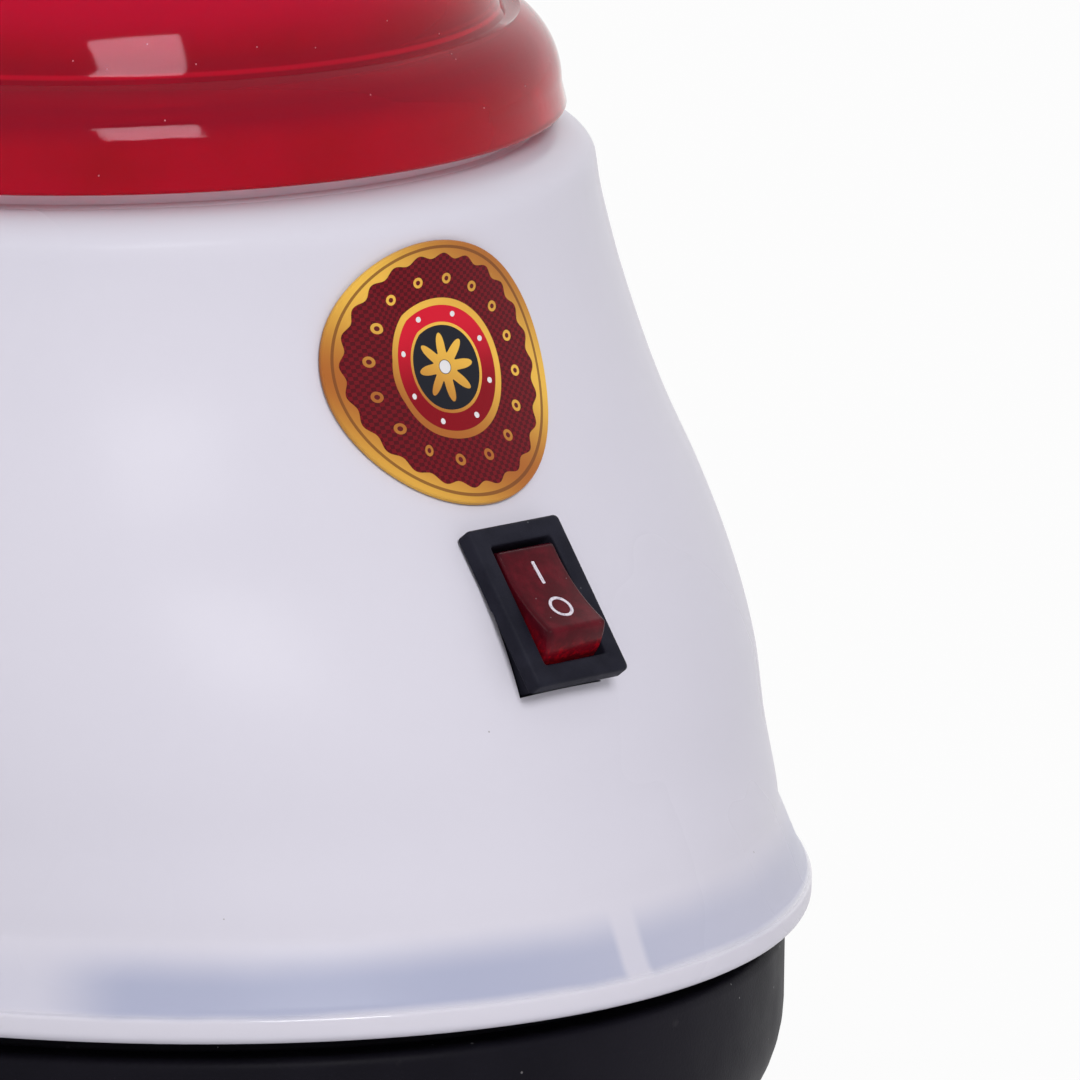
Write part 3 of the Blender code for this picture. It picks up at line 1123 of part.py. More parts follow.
def lead(name, route, colour):
    curve = bpy.data.curves.new(name, "CURVE")
    curve.dimensions = "3D"
    curve.bevel_depth = LEAD_RADIUS
    curve.bevel_resolution = 1
    curve.use_fill_caps = True
    curve.resolution_u = LEAD_SPAN_STEPS
    spline = curve.splines.new("BEZIER")
    spline.bezier_points.add(len(route) - 1)
    for knot, point in zip(spline.bezier_points, route):
        knot.co = point
        knot.handle_left_type = "AUTO"
        knot.handle_right_type = "AUTO"
    guide = bpy.data.objects.new(name + "_route", curve)
    parts.objects.link(guide)
    bpy.context.view_layer.update()
    graph = bpy.context.evaluated_depsgraph_get()
    mesh = bpy.data.meshes.new_from_object(guide.evaluated_get(graph))
    bpy.data.objects.remove(guide, do_unlink=True)
    shape = bmesh.new()
    shape.from_mesh(mesh)
    bmesh.ops.remove_doubles(shape, verts=shape.verts, dist=MERGE)
    bmesh.ops.recalc_face_normals(shape, faces=shape.faces)
    shape.to_mesh(mesh)
    shape.free()
    mesh.materials.clear()
    add_object(name, mesh, new_material(name + "_insulation", colour, 0.5))


def blade_tip(index, beyond):
    return switch_frame @ Vector((0, index * TERMINAL_PITCH, -TERMINAL_TIP_DEPTH - beyond))


def make_leads():
    block_face = BLOCK_Y - BLOCK_WIDTH / 2 - LEAD_GAP
    thermostat_low = BRACKET_Z - TOUCH_GAP - THERMOSTAT_DEPTH - LEAD_GAP
    fuse_z = BRACKET_Z - 2 * TOUCH_GAP - FUSE_RADIUS
    fuse_end = FUSE_LENGTH / 2 + FUSE_LEG + LEAD_GAP
    brown = (0.20, 0.05, 0.02)
    red = (0.25, 0.02, 0.02)
    blue = (0.02, 0.05, 0.30)

    def into_switch(index):
        return blade_tip(index, LEAD_GAP), blade_tip(index, LEAD_STRAIGHT)

    def into_block(index):
        x = block_wire_x(index)
        return (x, LEAD_TURN_Y, BLOCK_WIRE_Z), (x, block_face, BLOCK_WIRE_Z)

    def into_thermostat(side):
        x = THERMOSTAT_X + side * LEAD_SPREAD
        return (x, THERMOSTAT_Y, LEAD_DROP_Z), (x, THERMOSTAT_Y, thermostat_low)

    lead("lead_live", into_switch(-1) + LIVE_ROUTE + into_block(-1), brown)
    lead("lead_lamp", into_switch(1) + LAMP_ROUTE + into_block(0), blue)
    lead("lead_switched", into_switch(0) + SWITCHED_ROUTE + into_thermostat(-1), red)
    fuse_right = (FUSE_X + fuse_end, FUSE_Y, fuse_z)
    lead("lead_heater", into_thermostat(1)[::-1] + HEATER_ROUTE + (fuse_right,), red)
    fuse_left = (FUSE_X - fuse_end, FUSE_Y, fuse_z)
    lead("lead_neutral", (fuse_left,) + NEUTRAL_ROUTE + into_block(1), blue)


make_base()
make_feet()
make_body()
make_plaque()
make_switch_housing()
make_rocker()
make_switch_inside()
make_well()
make_pot()
make_lid()
make_heater_stack()
make_shield()
make_thermostat()
make_fuse()
make_block()
make_gland()
make_clamp()
make_leads()
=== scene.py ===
# Looks for the wax heater: smooth shells, a clear red lid, a rocker switch and a printed plaque.
# Metres, +Z up, the front looks along -Y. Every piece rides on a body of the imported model.

import math

import bmesh
import bpy
from mathutils import Matrix, Vector


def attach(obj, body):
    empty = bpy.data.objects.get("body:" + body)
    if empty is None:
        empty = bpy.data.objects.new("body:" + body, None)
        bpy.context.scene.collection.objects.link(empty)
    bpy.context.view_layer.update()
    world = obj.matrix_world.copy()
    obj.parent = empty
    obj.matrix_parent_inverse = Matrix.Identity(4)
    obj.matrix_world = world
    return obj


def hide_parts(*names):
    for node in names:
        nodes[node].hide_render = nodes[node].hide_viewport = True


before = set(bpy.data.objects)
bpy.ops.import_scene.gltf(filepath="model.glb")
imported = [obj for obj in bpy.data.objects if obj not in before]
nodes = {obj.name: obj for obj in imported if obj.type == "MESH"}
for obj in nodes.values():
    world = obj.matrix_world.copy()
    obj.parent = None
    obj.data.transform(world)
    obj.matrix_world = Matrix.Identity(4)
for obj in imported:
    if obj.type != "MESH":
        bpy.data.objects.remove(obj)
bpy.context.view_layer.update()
print("frame loaded:", len(nodes), "nodes")

gap = 0.0003  # kept between pieces that touch
sharpAngle = math.radians(35)
fullTurn = 2 * math.pi


# Shader maths: a Link is one value on its way through a material

class Link:
    def __init__(self, graph, socket):
        self.graph = graph
        self.socket = socket

    def math(self, operation, *others, first=None):
        values = ([first] if first is not None else []) + [self] + list(others)
        return self.graph.link("ShaderNodeMath", dict(enumerate(values)), operation=operation)

    def __add__(self, other):
        return self.math("ADD", other)

    def __sub__(self, other):
        return self.math("SUBTRACT", other)

    def __rsub__(self, other):
        return self.math("SUBTRACT", first=other)

    def __mul__(self, other):
        return self.math("MULTIPLY", other)

    def __truediv__(self, other):
        return self.math("DIVIDE", other)

    __radd__ = __add__
    __rmul__ = __mul__

    def below(self, limit):
        return self.math("LESS_THAN", limit)

    def above(self, limit):
        return self.math("GREATER_THAN", limit)

    def away(self, centre):
        return (self - centre).math("ABSOLUTE")

    def capped(self):
        return self.math("MINIMUM", 1.0)

    def rise(self, low, high):  # 0 at low, 1 at high, smooth between
        return self.graph.link("ShaderNodeMapRange", {"Value": self, "From Min": low, "From Max": high},
                               "Result", interpolation_type="SMOOTHSTEP")

    def fall(self, low, high):
        return 1 - self.rise(low, high)

    def between(self, low, lowEnd, highStart, high):
        return self.rise(low, lowEnd) * self.fall(highStart, high)

    def blend(self, low, high, first, second):
        return self.graph.mix(self.rise(low, high), first, second)


class Graph:
    def __init__(self, tree):
        self.tree = tree
        tree.nodes.clear()

    def node(self, kind, sockets=None, **settings):
        item = self.tree.nodes.new(kind)
        for key, value in settings.items():
            setattr(item, key, value)
        for key, value in (sockets or {}).items():
            self.put(item.inputs[key], value)
        return item

    def link(self, kind, sockets=None, output=0, **settings):
        return Link(self, self.node(kind, sockets, **settings).outputs[output])

    def put(self, socket, value):
        if isinstance(value, Link):
            self.tree.links.new(value.socket, socket)
        else:
            socket.default_value = value

    def parts(self, vector):
        return [Link(self, output) for output in self.node("ShaderNodeSeparateXYZ", {0: vector}).outputs]

    def vector(self, x, y, z):
        return self.link("ShaderNodeCombineXYZ", {0: x, 1: y, 2: z})

    def noise(self, scale, detail=2, vector=None):
        sockets = {"Vector": vector or self.place, "Scale": scale, "Detail": detail}
        return self.link("ShaderNodeTexNoise", sockets, "Fac")

    def mix(self, share, first, second):
        item = self.node("ShaderNodeMix", {0: share}, data_type="RGBA")
        for socket, value in ((item.inputs[6], first), (item.inputs[7], second)):
            self.put(socket, value if isinstance(value, Link) else (*value, 1))
        return Link(self, item.outputs[2])

    def specks(self, perMetre, size, share):  # round grains, some cells only
        item = self.node("ShaderNodeTexVoronoi", {"Vector": self.place, "Scale": perMetre})
        chance = self.parts(Link(self, item.outputs["Color"]))[0]
        return Link(self, item.outputs["Distance"]).below(size * perMetre) * chance.below(share)

    def bump(self, height, distance, strength):
        return self.link("ShaderNodeBump", {"Height": height, "Distance": distance, "Strength": strength})

    def grain(self, scale, distance, strength=0.6, detail=2):
        return self.bump(self.noise(scale, detail), distance, strength)


class Paint(Graph):  # a material with one Principled shader
    names = {"colour": "Base Color", "roughness": "Roughness", "metallic": "Metallic", "coat": "Coat Weight",
             "coatRoughness": "Coat Roughness", "transmission": "Transmission Weight", "ior": "IOR",
             "normal": "Normal", "specularTint": "Specular Tint"}

    def __init__(self, name, **fixed):
        self.material = bpy.data.materials.new(name)
        self.material.use_nodes = True
        super().__init__(self.material.node_tree)
        self.shader = self.node("ShaderNodeBsdfPrincipled")
        self.node("ShaderNodeOutputMaterial", {0: Link(self, self.shader.outputs[0])})
        self.place = self.link("ShaderNodeTexCoord", output="Object")
        self.set(**fixed)

    def set(self, **values):
        for key, value in values.items():
            if key in ("colour", "specularTint") and not isinstance(value, Link):
                value = (*value, 1)
            self.put(self.shader.inputs[self.names[key]], value)
        return self

    def layered(self, colour, *layers):
        for share, over in layers:
            colour = self.mix(share, colour, over)
        return colour


# Geometry Nodes: one tree turns a profile, one puts copies on points

class Shape(Graph):
    def __init__(self, name, **inputs):
        tree = bpy.data.node_groups.new(name, "GeometryNodeTree")
        super().__init__(tree)
        tree.is_modifier = True
        self.keys = {}
        for label, kind in {"Geometry": "Geometry", **inputs}.items():
            socket = tree.interface.new_socket(label, in_out="INPUT", socket_type="NodeSocket" + kind)
            self.keys[label] = socket.identifier
        tree.interface.new_socket("Geometry", in_out="OUTPUT", socket_type="NodeSocketGeometry")
        self.start = self.node("NodeGroupInput")

    def given(self, label):
        return Link(self, self.start.outputs[label])

    def attribute(self, label, kind="FLOAT"):
        return self.link("GeometryNodeInputNamedAttribute", {"Name": label}, "Attribute", data_type=kind)

    def end(self, geometry):
        real = self.link("GeometryNodeRealizeInstances", {0: geometry})
        painted = self.link("GeometryNodeSetMaterial", {"Geometry": real, "Material": self.given("Material")})
        self.node("NodeGroupOutput", {0: painted})

    def run(self, source, **values):  # the result as a plain mesh, the source removed
        modifier = source.modifiers.new("shape", "NODES")
        modifier.node_group = self.tree
        for label, value in values.items():
            modifier[self.keys[label]] = value
        mesh = evaluated(source)
        bpy.data.objects.remove(source, do_unlink=True)
        return mesh


def evaluated(item):
    bpy.context.view_layer.update()
    graph = bpy.context.evaluated_depsgraph_get()
    return bpy.data.meshes.new_from_object(item.evaluated_get(graph))


def makeTurnShape():
    shape = Shape("turnProfile", Steps="Int", Material="Material")
    steps = shape.given("Steps")
    profile = shape.link("GeometryNodeMeshToCurve", {0: shape.given("Geometry")})
    circle = shape.link("GeometryNodeCurvePrimitiveCircle", {"Resolution": steps, "Radius": 1.0},
                        mode="RADIUS")
    angle = shape.link("GeometryNodeInputIndex") * fullTurn / steps
    stored = shape.link("GeometryNodeStoreNamedAttribute",
                        {"Geometry": circle, "Name": "turn", "Value": angle},
                        data_type="FLOAT", domain="POINT")
    skin = shape.link("GeometryNodeCurveToMesh", {"Curve": stored, "Profile Curve": profile})
    turn = shape.attribute("turn")
    place = shape.vector(shape.attribute("halfWidth") * turn.math("COSINE"),
                         shape.attribute("halfLength") * turn.math("SINE"), shape.attribute("level"))
    moved = shape.link("GeometryNodeSetPosition", {"Geometry": skin, "Position": place})
    shape.end(shape.link("GeometryNodeMergeByDistance", {"Geometry": moved, "Distance": 0.00001}))
    return shape


def makeCopyShape():
    shape = Shape("copiesOnPoints", Piece="Object", Material="Material")
    piece = shape.link("GeometryNodeObjectInfo", {"Object": shape.given("Piece"), "As Instance": True},
                       "Geometry", transform_space="ORIGINAL")
    shape.end(shape.link("GeometryNodeInstanceOnPoints", {
        "Points": shape.given("Geometry"), "Instance": piece,
        "Rotation": shape.attribute("lean", "FLOAT_VECTOR")}))
    return shape


turnShape = makeTurnShape()
copyShape = makeCopyShape()
print("shape trees ready")


# Mesh helpers

def arc(centreX, centreY, radiusX, radiusY, start, end, steps):
    points = []
    for step in range(steps + 1):
        angle = math.radians(start + (end - start) * step / steps)
        points.append((centreX + radiusX * math.cos(angle), centreY + radiusY * math.sin(angle)))
    return points


def shifted(x, y, z):
    return Matrix.Translation((x, y, z))


def rotated(degrees, axis="X"):
    return Matrix.Rotation(math.radians(degrees), 4, axis)


def numbered(name, count):
    return [f"{name}_{number}" for number in range(1, count + 1)]


def smooth(mesh):
    mesh.shade_smooth()
    mesh.set_sharp_from_angle(angle=sharpAngle)
    return mesh


def meshFrom(work, name, turn=None):
    mesh = bpy.data.meshes.new(name)
    work.to_mesh(mesh)
    work.free()
    if turn:
        mesh.transform(turn)
    return mesh


def cleanMesh(mesh):
    work = bmesh.new()
    work.from_mesh(mesh)
    bmesh.ops.remove_doubles(work, verts=work.verts, dist=0.000005)
    bmesh.ops.recalc_face_normals(work, faces=work.faces)
    work.to_mesh(mesh)
    work.free()
    return smooth(mesh)


def dress(mesh, paint):
    mesh.materials.clear()
    mesh.materials.append(paint.material)


def addObject(name, mesh, paint=None):
    item = bpy.data.objects.new(name, mesh)
    bpy.context.scene.collection.objects.link(item)
    if paint:
        dress(mesh, paint)
    return item


def turned(name, profile, paint, steps=128, turn=None, closed=False):
    # A profile of (radius, height) or (half width, half length, height) points, once round
    rows = [(point[0], point[0], point[1]) if len(point) == 2 else point for point in profile]
    mesh = bpy.data.meshes.new(name)
    edges = [(index, index + 1) for index in range(len(rows) - 1)]
    if closed:
        edges.append((len(rows) - 1, 0))
    mesh.from_pydata([(row[0], 0, row[2]) for row in rows], edges, [])
    columns = ("halfWidth", "halfLength", "level")
    for column, label in enumerate(columns):
        attribute = mesh.attributes.new(label, "FLOAT", "POINT")
        attribute.data.foreach_set("value", [row[column] for row in rows])
    result = turnShape.run(addObject(name + "Profile", mesh), Steps=steps, Material=paint.material)
    for label in (*columns, "turn"):
        if label in result.attributes:
            result.attributes.remove(result.attributes[label])
    if turn:
        result.transform(turn)
    return addObject(name, cleanMesh(result), paint)


def copiesOf(name, piece, places, paint):
    # Puts a small piece at each (place, lean) and joins the copies in one mesh
    mesh = bpy.data.meshes.new(name)
    mesh.from_pydata([place for place, lean in places], [], [])
    attribute = mesh.attributes.new("lean", "FLOAT_VECTOR", "POINT")
    attribute.data.foreach_set("vector", [value for place, lean in places for value in lean])
    result = copyShape.run(addObject(name + "Points", mesh), Piece=piece, Material=paint.material)
    bpy.data.objects.remove(piece, do_unlink=True)
    return addObject(name, cleanMesh(result), paint)


def ringLoft(name, rings, paint, turn=None, closed=False):
    # Skins rings that have the same number of points, with a cap on each end unless they close
    work = bmesh.new()
    rows = [[work.verts.new(point) for point in ring] for ring in rings]
    pairs = list(zip(rows, rows[1:]))
    if closed:
        pairs.append((rows[-1], rows[0]))
    else:
        work.faces.new(rows[0])
        work.faces.new(rows[-1])
    count = len(rows[0])
    for lower, upper in pairs:
        for step in range(count):
            after = (step + 1) % count
            work.faces.new((lower[step], lower[after], upper[after], upper[step]))
    return addObject(name, cleanMesh(meshFrom(work, name, turn)), paint)


def roundRing(width, length, corner, height, steps=5):
    points = []
    for quarter, (signX, signY) in enumerate(((1, 1), (-1, 1), (-1, -1), (1, -1))):
        points += [(x, y, height) for x, y in
                   arc(signX * (width / 2 - corner), signY * (length / 2 - corner), corner, corner,
                       quarter * 90, quarter * 90 + 90, steps)]
    return points


def block(name, size, centre, turn=None):
    work = bmesh.new()
    bmesh.ops.create_cube(work, size=1)
    bmesh.ops.scale(work, verts=work.verts, vec=size)
    bmesh.ops.translate(work, verts=work.verts, vec=centre)
    return addObject(name, meshFrom(work, name, turn))


def rod(name, radius, low, high, turn=None, steps=32):
    work = bmesh.new()
    bmesh.ops.create_cone(work, cap_ends=True, segments=steps, radius1=radius, radius2=radius,
                          depth=high - low)
    bmesh.ops.translate(work, verts=work.verts, vec=(0, 0, (low + high) / 2))
    return addObject(name, meshFrom(work, name, turn))


def applied(item):
    mesh = evaluated(item)
    item.modifiers.clear()
    item.data = smooth(mesh)


def cut(item, tools, operation="DIFFERENCE"):
    for tool in tools:
        step = item.modifiers.new("cut", "BOOLEAN")
        step.operation = operation
        step.solver = "EXACT"
        step.object = tool
    applied(item)
    for tool in tools:
        bpy.data.objects.remove(tool, do_unlink=True)


def bevelled(item, width, angle=40.0):
    step = item.modifiers.new("edges", "BEVEL")
    step.width = width
    step.segments = 3
    step.limit_method = "ANGLE"
    step.angle_limit = math.radians(angle)
    applied(item)


def joined(name, items, paint):
    work = bmesh.new()
    for item in items:
        work.from_mesh(item.data)
        bpy.data.objects.remove(item, do_unlink=True)
    return addObject(name, smooth(meshFrom(work, name)), paint)


def settle(item, body, slotName, *replaced):
    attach(item, body)
    if replaced:
        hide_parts(*replaced)


# Camera: fitted to the photograph's edges

camera = {"place": (-0.9761, -1.0955, 0.3997), "target": (0, 0, 0.088), "focal": 12136.0,
          "targetPixel": (50.9, 418.7), "frame": 1080.0, "roll": -0.18, "sensor": 36.0}


def makeCamera():
    place = Vector(camera["place"])
    forward = (Vector(camera["target"]) - place).normalized()
    level = forward.cross(Vector((0, 0, 1))).normalized()
    right = Matrix.Rotation(math.radians(camera["roll"]), 3, forward) @ level
    up = right.cross(forward)
    middle = camera["frame"] / 2
    aim = (forward * camera["focal"] + right * (middle - camera["targetPixel"][0])
           - up * (middle - camera["targetPixel"][1])).normalized()
    right = (right - aim * right.dot(aim)).normalized()
    up = right.cross(aim)
    data = bpy.data.cameras.new("camera")
    data.sensor_fit = "HORIZONTAL"
    data.sensor_width = camera["sensor"]
    data.lens = camera["focal"] / camera["frame"] * data.sensor_width
    data.clip_start = 0.05
    data.clip_end = 50.0
    item = bpy.data.objects.new("camera", data)
    bpy.context.scene.collection.objects.link(item)
    item.matrix_world = Matrix.Translation(place) @ Matrix((right, up, -aim)).transposed().to_4x4()
    bpy.context.scene.camera = item


makeCamera()
print("camera ready")


# Body shell: an oval wall that narrows to a round shoulder, with a flared foot and a rim

body = {"wall": 0.0022, "rimLength": 0.1033, "rimWidth": 0.0854, "rimLow": 0.0334, "rimBand": 0.0350,
        "rimBandTop": 0.0366, "rimInset": 0.0012, "rimRound": 0.0005, "footLength": 0.0988,
        "footWidth": 0.0815, "footZ": 0.0453, "flareEnd": 0.002,
        "flare": ((0.08, 0.03), (0.24, 0.13), (0.5, 0.41), (0.76, 0.71)),
        "shoulder": 0.067, "shoulderZ": 0.1213, "shoulderRound": 0.0066, "ledgeZ": 0.1259,
        "collar": 0.0592, "collarTop": 0.1353, "collarBore": 0.0575, "collarRound": 0.0006,
        "collarFillet": 0.0005,
        "front": (0, 0.024, 0.123, 0.302, 0.53, 0.705, 0.824, 0.896, 1),
        "side": (0, 0.213, 0.4, 0.538, 0.7, 0.85, 0.96, 0.99, 1), "wallRings": 60, "insideRings": 15,
        "insideDrop": 0.001, "steps": 192, "ribs": (-88.5, 91.5, 1.5, -178.5), "neckGap": -142}


def spline(before, first, second, after, share):
    return 0.5 * (2 * first + (second - before) * share
                  + (2 * before - 5 * first + 4 * second - after) * share ** 2
                  + (3 * first - before - 3 * second + after) * share ** 3)


def smoothShare(shares, position):
    spans = len(shares) - 1
    span = min(int(position * spans), spans - 1)
    return spline(shares[max(span - 1, 0)], shares[span], shares[span + 1], shares[min(span + 2, spans)],
                  position * spans - span)


def wallAt(height):
    # Half width and half length of the wall at a height
    position = (body["shoulderZ"] - height) / (body["shoulderZ"] - body["footZ"])
    return [body["shoulder"] + (body[foot] - body["shoulder"]) * smoothShare(body[shares], position)
            for foot, shares in (("footWidth", "side"), ("footLength", "front"))]


def insetRows(width, length, points):
    return [(width - inset, length - inset, height) for inset, height in points]


def bodyProfile():
    low, bandTop, footZ, shoulder = body["rimLow"], body["rimBandTop"], body["footZ"], body["shoulderZ"]
    width, length, wall = body["rimWidth"], body["rimLength"], body["wall"]
    inset, edge = body["rimInset"], body["rimRound"]
    rows = insetRows(width, length, arc(inset, low + inset, -inset, -inset, 80, 0, 6)
                     + arc(edge, bandTop - edge, -edge, edge, 0, 70, 4))
    # Flare: a smooth curve from the crease on the rim up to the wall's foot
    beyond = body["flareEnd"]
    knots = [*body["flare"], (1, 1), ((width - wallAt(footZ + beyond)[0]) / (width - body["footWidth"]),
                                      1 + beyond / (footZ - bandTop))]
    for index in range(len(knots) - 2):
        near = [knots[max(index - 1, 0)], *knots[index:index + 3]]
        for step in range(5):
            share, rise = (spline(*(knot[axis] for knot in near), step / 5) for axis in (0, 1))
            rows.append((width + (body["footWidth"] - width) * share,
                         length + (body["footLength"] - length) * share, bandTop + (footZ - bandTop) * rise))
    for step in range(body["wallRings"] + 1):
        height = footZ + (shoulder - footZ) * step / body["wallRings"]
        rows.append((*wallAt(height), height))
    ledge, collar, top, bore = body["ledgeZ"], body["collar"], body["collarTop"], body["collarBore"]
    land = body["shoulder"] - body["shoulderRound"]
    edge, fillet = body["collarRound"], body["collarFillet"]
    rows += arc(land, shoulder, body["shoulderRound"], ledge - shoulder, 14, 90, 10)
    rows += [(collar + fillet, ledge), (collar, ledge + fillet)]
    rows += arc(collar - edge, top - edge, edge, edge, 0, 90, 4)
    rows += [(bore, top), (bore, ledge - wall), (land, ledge - wall)]
    for step in range(body["insideRings"] + 1):
        height = shoulder - body["insideDrop"] + (footZ - shoulder) * step / body["insideRings"]
        rows.append((*(half - wall for half in wallAt(max(height, footZ))), height))
    return rows + insetRows(width, length, [(wall, body["rimBand"]), (wall, low)])


def bodyPlastic():
    # Glossy white moulding, faintly translucent: painted shade makes it bluish where the dark neck stands
    # behind the flare
    paint = Paint("bodyWhite", ior=1.15)
    x, y, z = paint.parts(paint.place)
    cloud = paint.noise(14, 3)
    edge = z + (paint.noise(60) - 0.5) * 0.0012
    band = edge.between(0.0362, 0.0374, 0.0398, 0.0452)
    # The painted shade breaks at four ribs inside the flare, which let the light through, and at a gap beside
    # the neck on one side; it is halved towards the +X side
    turn = (y / body["footLength"]).math("ARCTAN2", x / body["footWidth"]) * (180 / math.pi)
    for rib in body["ribs"]:
        band = band * (0.2 + 0.8 * turn.away(rib).rise(0.9, 1.9))
    band = band * (0.2 + 0.8 * turn.away(body["neckGap"]).rise(3, 11))
    band = band * (1 - 0.5 * turn.math("ABSOLUTE").rise(108, 66))
    dust = paint.specks(330, 0.00015, 0.02)
    # Painted shade: the bluish grey band on the flare and a darker lilac grey on the rim's bottom edge
    colour = paint.layered(cloud.blend(0.35, 0.7, (0.700, 0.676, 0.765), (0.682, 0.660, 0.752)),
                           (band, (0.43, 0.45, 0.60)), (z.fall(0.0336, 0.0350) * 0.5, (0.62, 0.60, 0.70)),
                           (dust * 0.6, (0.17, 0.15, 0.15)))
    wave = paint.noise(24) * 0.6 + paint.noise(8, 1)
    crease = z.between(0.0361, 0.0364, 0.0369, 0.0373)
    return paint.set(colour=colour, roughness=0.25 + cloud * 0.04 + dust * 0.3, coat=crease * 0.9,
                     coatRoughness=0.04, normal=paint.bump(wave, 0.0012, 0.25))


# Switch: its own frame has X to the right, Y up the face and Z out of the face

switch = {"place": (0, -0.0887, 0.0804), "tilt": 37.2, "bezelLength": 0.021, "bezelWidth": 0.015,
          "bezelThickness": 0.0022, "bezelCorner": 0.0006, "bezelInset": 0.0003, "boxLength": 0.019,
          "boxWidth": 0.0127, "boxCorner": 0.0007, "boxDepth": 0.014, "boxFloor": 0.0015,
          "windowLength": 0.01595, "windowWidth": 0.0099, "windowCorner": 0.0005, "edge": 0.0005,
          "windowEdge": 0.00035, "seatMargin": 0.0001, "seatCorner": 0.0012, "seatHeight": 0.006,
          "pivotDepth": 0.0032, "travel": 24.0, "corner": 38.0, "heel": -12.0, "dish": 0.0008,
          "keelHalf": 0.0052, "keelDepth": 0.006, "pin": 0.001, "pinReach": 0.001, "socket": 0.0013,
          "rockerEdge": 0.00045, "pitch": 0.0058, "terminalSlot": (0.0054, 0.0014, 0.004)}
switchFrame = Matrix.Translation(switch["place"]) @ rotated(90 - switch["tilt"])
pivotFrame = switchFrame @ shifted(0, 0, -switch["pivotDepth"])
rockerFrame = pivotFrame @ rotated(-switch["travel"] / 2)


def makeBody():
    shell = turned("bodyShell", bodyProfile(), bodyPlastic(), steps=body["steps"], closed=True)
    depth = switch["boxDepth"]
    opening = block("opening", (switch["boxWidth"] + 2 * gap, switch["boxLength"] + 2 * gap, depth),
                    (0, 0, -depth / 2), switchFrame)
    low = -switch["bezelThickness"] - gap
    width, length = (switch[side] + 2 * switch["seatMargin"] for side in ("bezelWidth", "bezelLength"))
    seat = ringLoft("seat", [roundRing(width, length, switch["seatCorner"], z)
                             for z in (low, low + switch["seatHeight"])], None, switchFrame)
    cut(shell, [opening, seat])
    settle(shell, "base", "body_white", "body_shell")


makeBody()
print("body ready")


# Base tray: a satin black oval dish with screw bosses, feet holes and a neck inside the body

base = {"length": 0.1002, "width": 0.0821, "low": 0.003, "top": 0.0309, "corner": 0.018, "edge": 0.0015,
        "wall": 0.0025, "neckTop": 0.0388, "neckWall": 0.002, "neckInset": 0.003, "steps": 160,
        "floorOval": (0.02, 0.038), "tieRadius": 0.046, "tieHole": 0.0024, "boss": 0.007, "recess": 0.0045,
        "recessTop": 0.0082, "shieldZ": 0.030, "footX": 0.042, "footY": 0.052, "footHole": 0.0023,
        "footHoleTop": 0.0075, "gland": (0, 0.1001, 0.0215),
        "glandHoles": ((0.0075, (0, 0.004)), (0.0049, (-0.007, 0.001))),
        "clampX": 0.009, "clampY": 0.076, "clampBoss": 0.0038, "clampTop": 0.0188, "clampHole": 0.0017,
        "clampHoleLow": 0.009, "clampHoleTop": 0.02, "saddle": (0.0088, 0.008), "saddleTop": 0.0185,
        "post": (0.004, 0.0015, 0.009), "postX": 0.010, "postY": 0.044, "postApart": 0.00805, "past": 0.001}
tiePlaces = arc(0, 0, base["tieRadius"], base["tieRadius"], 60, 300, 2)
clampPlaces = [(side * base["clampX"], base["clampY"]) for side in (-1, 1)]
footPlaces = [(x * base["footX"], y * base["footY"]) for x in (1, -1) for y in (1, -1)]
glandFrame = shifted(*base["gland"]) @ rotated(-90)


def basePlastic():
    paint = Paint("baseBlack", ior=1.13)
    z = paint.parts(paint.place)[2]
    dust = paint.specks(520, 0.00018, 0.16) + paint.specks(230, 0.00022, 0.1)
    lint = paint.noise(260, 4).rise(0.66, 0.78)
    worn = z.fall(0.003, 0.0048)
    colour = paint.layered(paint.noise(30, 4).blend(0.3, 0.75, (0.0055, 0.005, 0.008), (0.010, 0.009, 0.014)),
                           (dust.capped() * 0.45 + lint * 0.06, (0.30, 0.29, 0.30)),
                           (worn * 0.5, (0.05, 0.05, 0.052)))
    return paint.set(colour=colour, roughness=0.40 + paint.noise(180, 3) * 0.14 + worn * 0.2,
                     normal=paint.grain(2600, 0.00006, 0.5))


def trayProfile():
    width, length, low, top = base["width"], base["length"], base["low"], base["top"]
    corner, edge, wall = base["corner"], base["edge"], base["wall"]
    inner = corner - wall
    neckWidth, neckLength = (body[foot] - base["neckInset"] for foot in ("footWidth", "footLength"))
    neckWall, neckTop = base["neckWall"], base["neckTop"]
    neckRows = ((0, top), (0, neckTop), (neckWall, neckTop), (neckWall, top - wall))
    return ([(*base["floorOval"], low)]
            + insetRows(width, length, arc(corner, low + corner, -corner, -corner, 90, 0, 12)
                        + arc(edge, top - edge, -edge, edge, 0, 90, 5))
            + insetRows(neckWidth, neckLength, neckRows)
            + insetRows(width, length, [(wall, top - wall)]
                        + arc(corner, low + corner, -inner, -inner, 0, 90, 8))
            + [(*base["floorOval"], low + wall)])


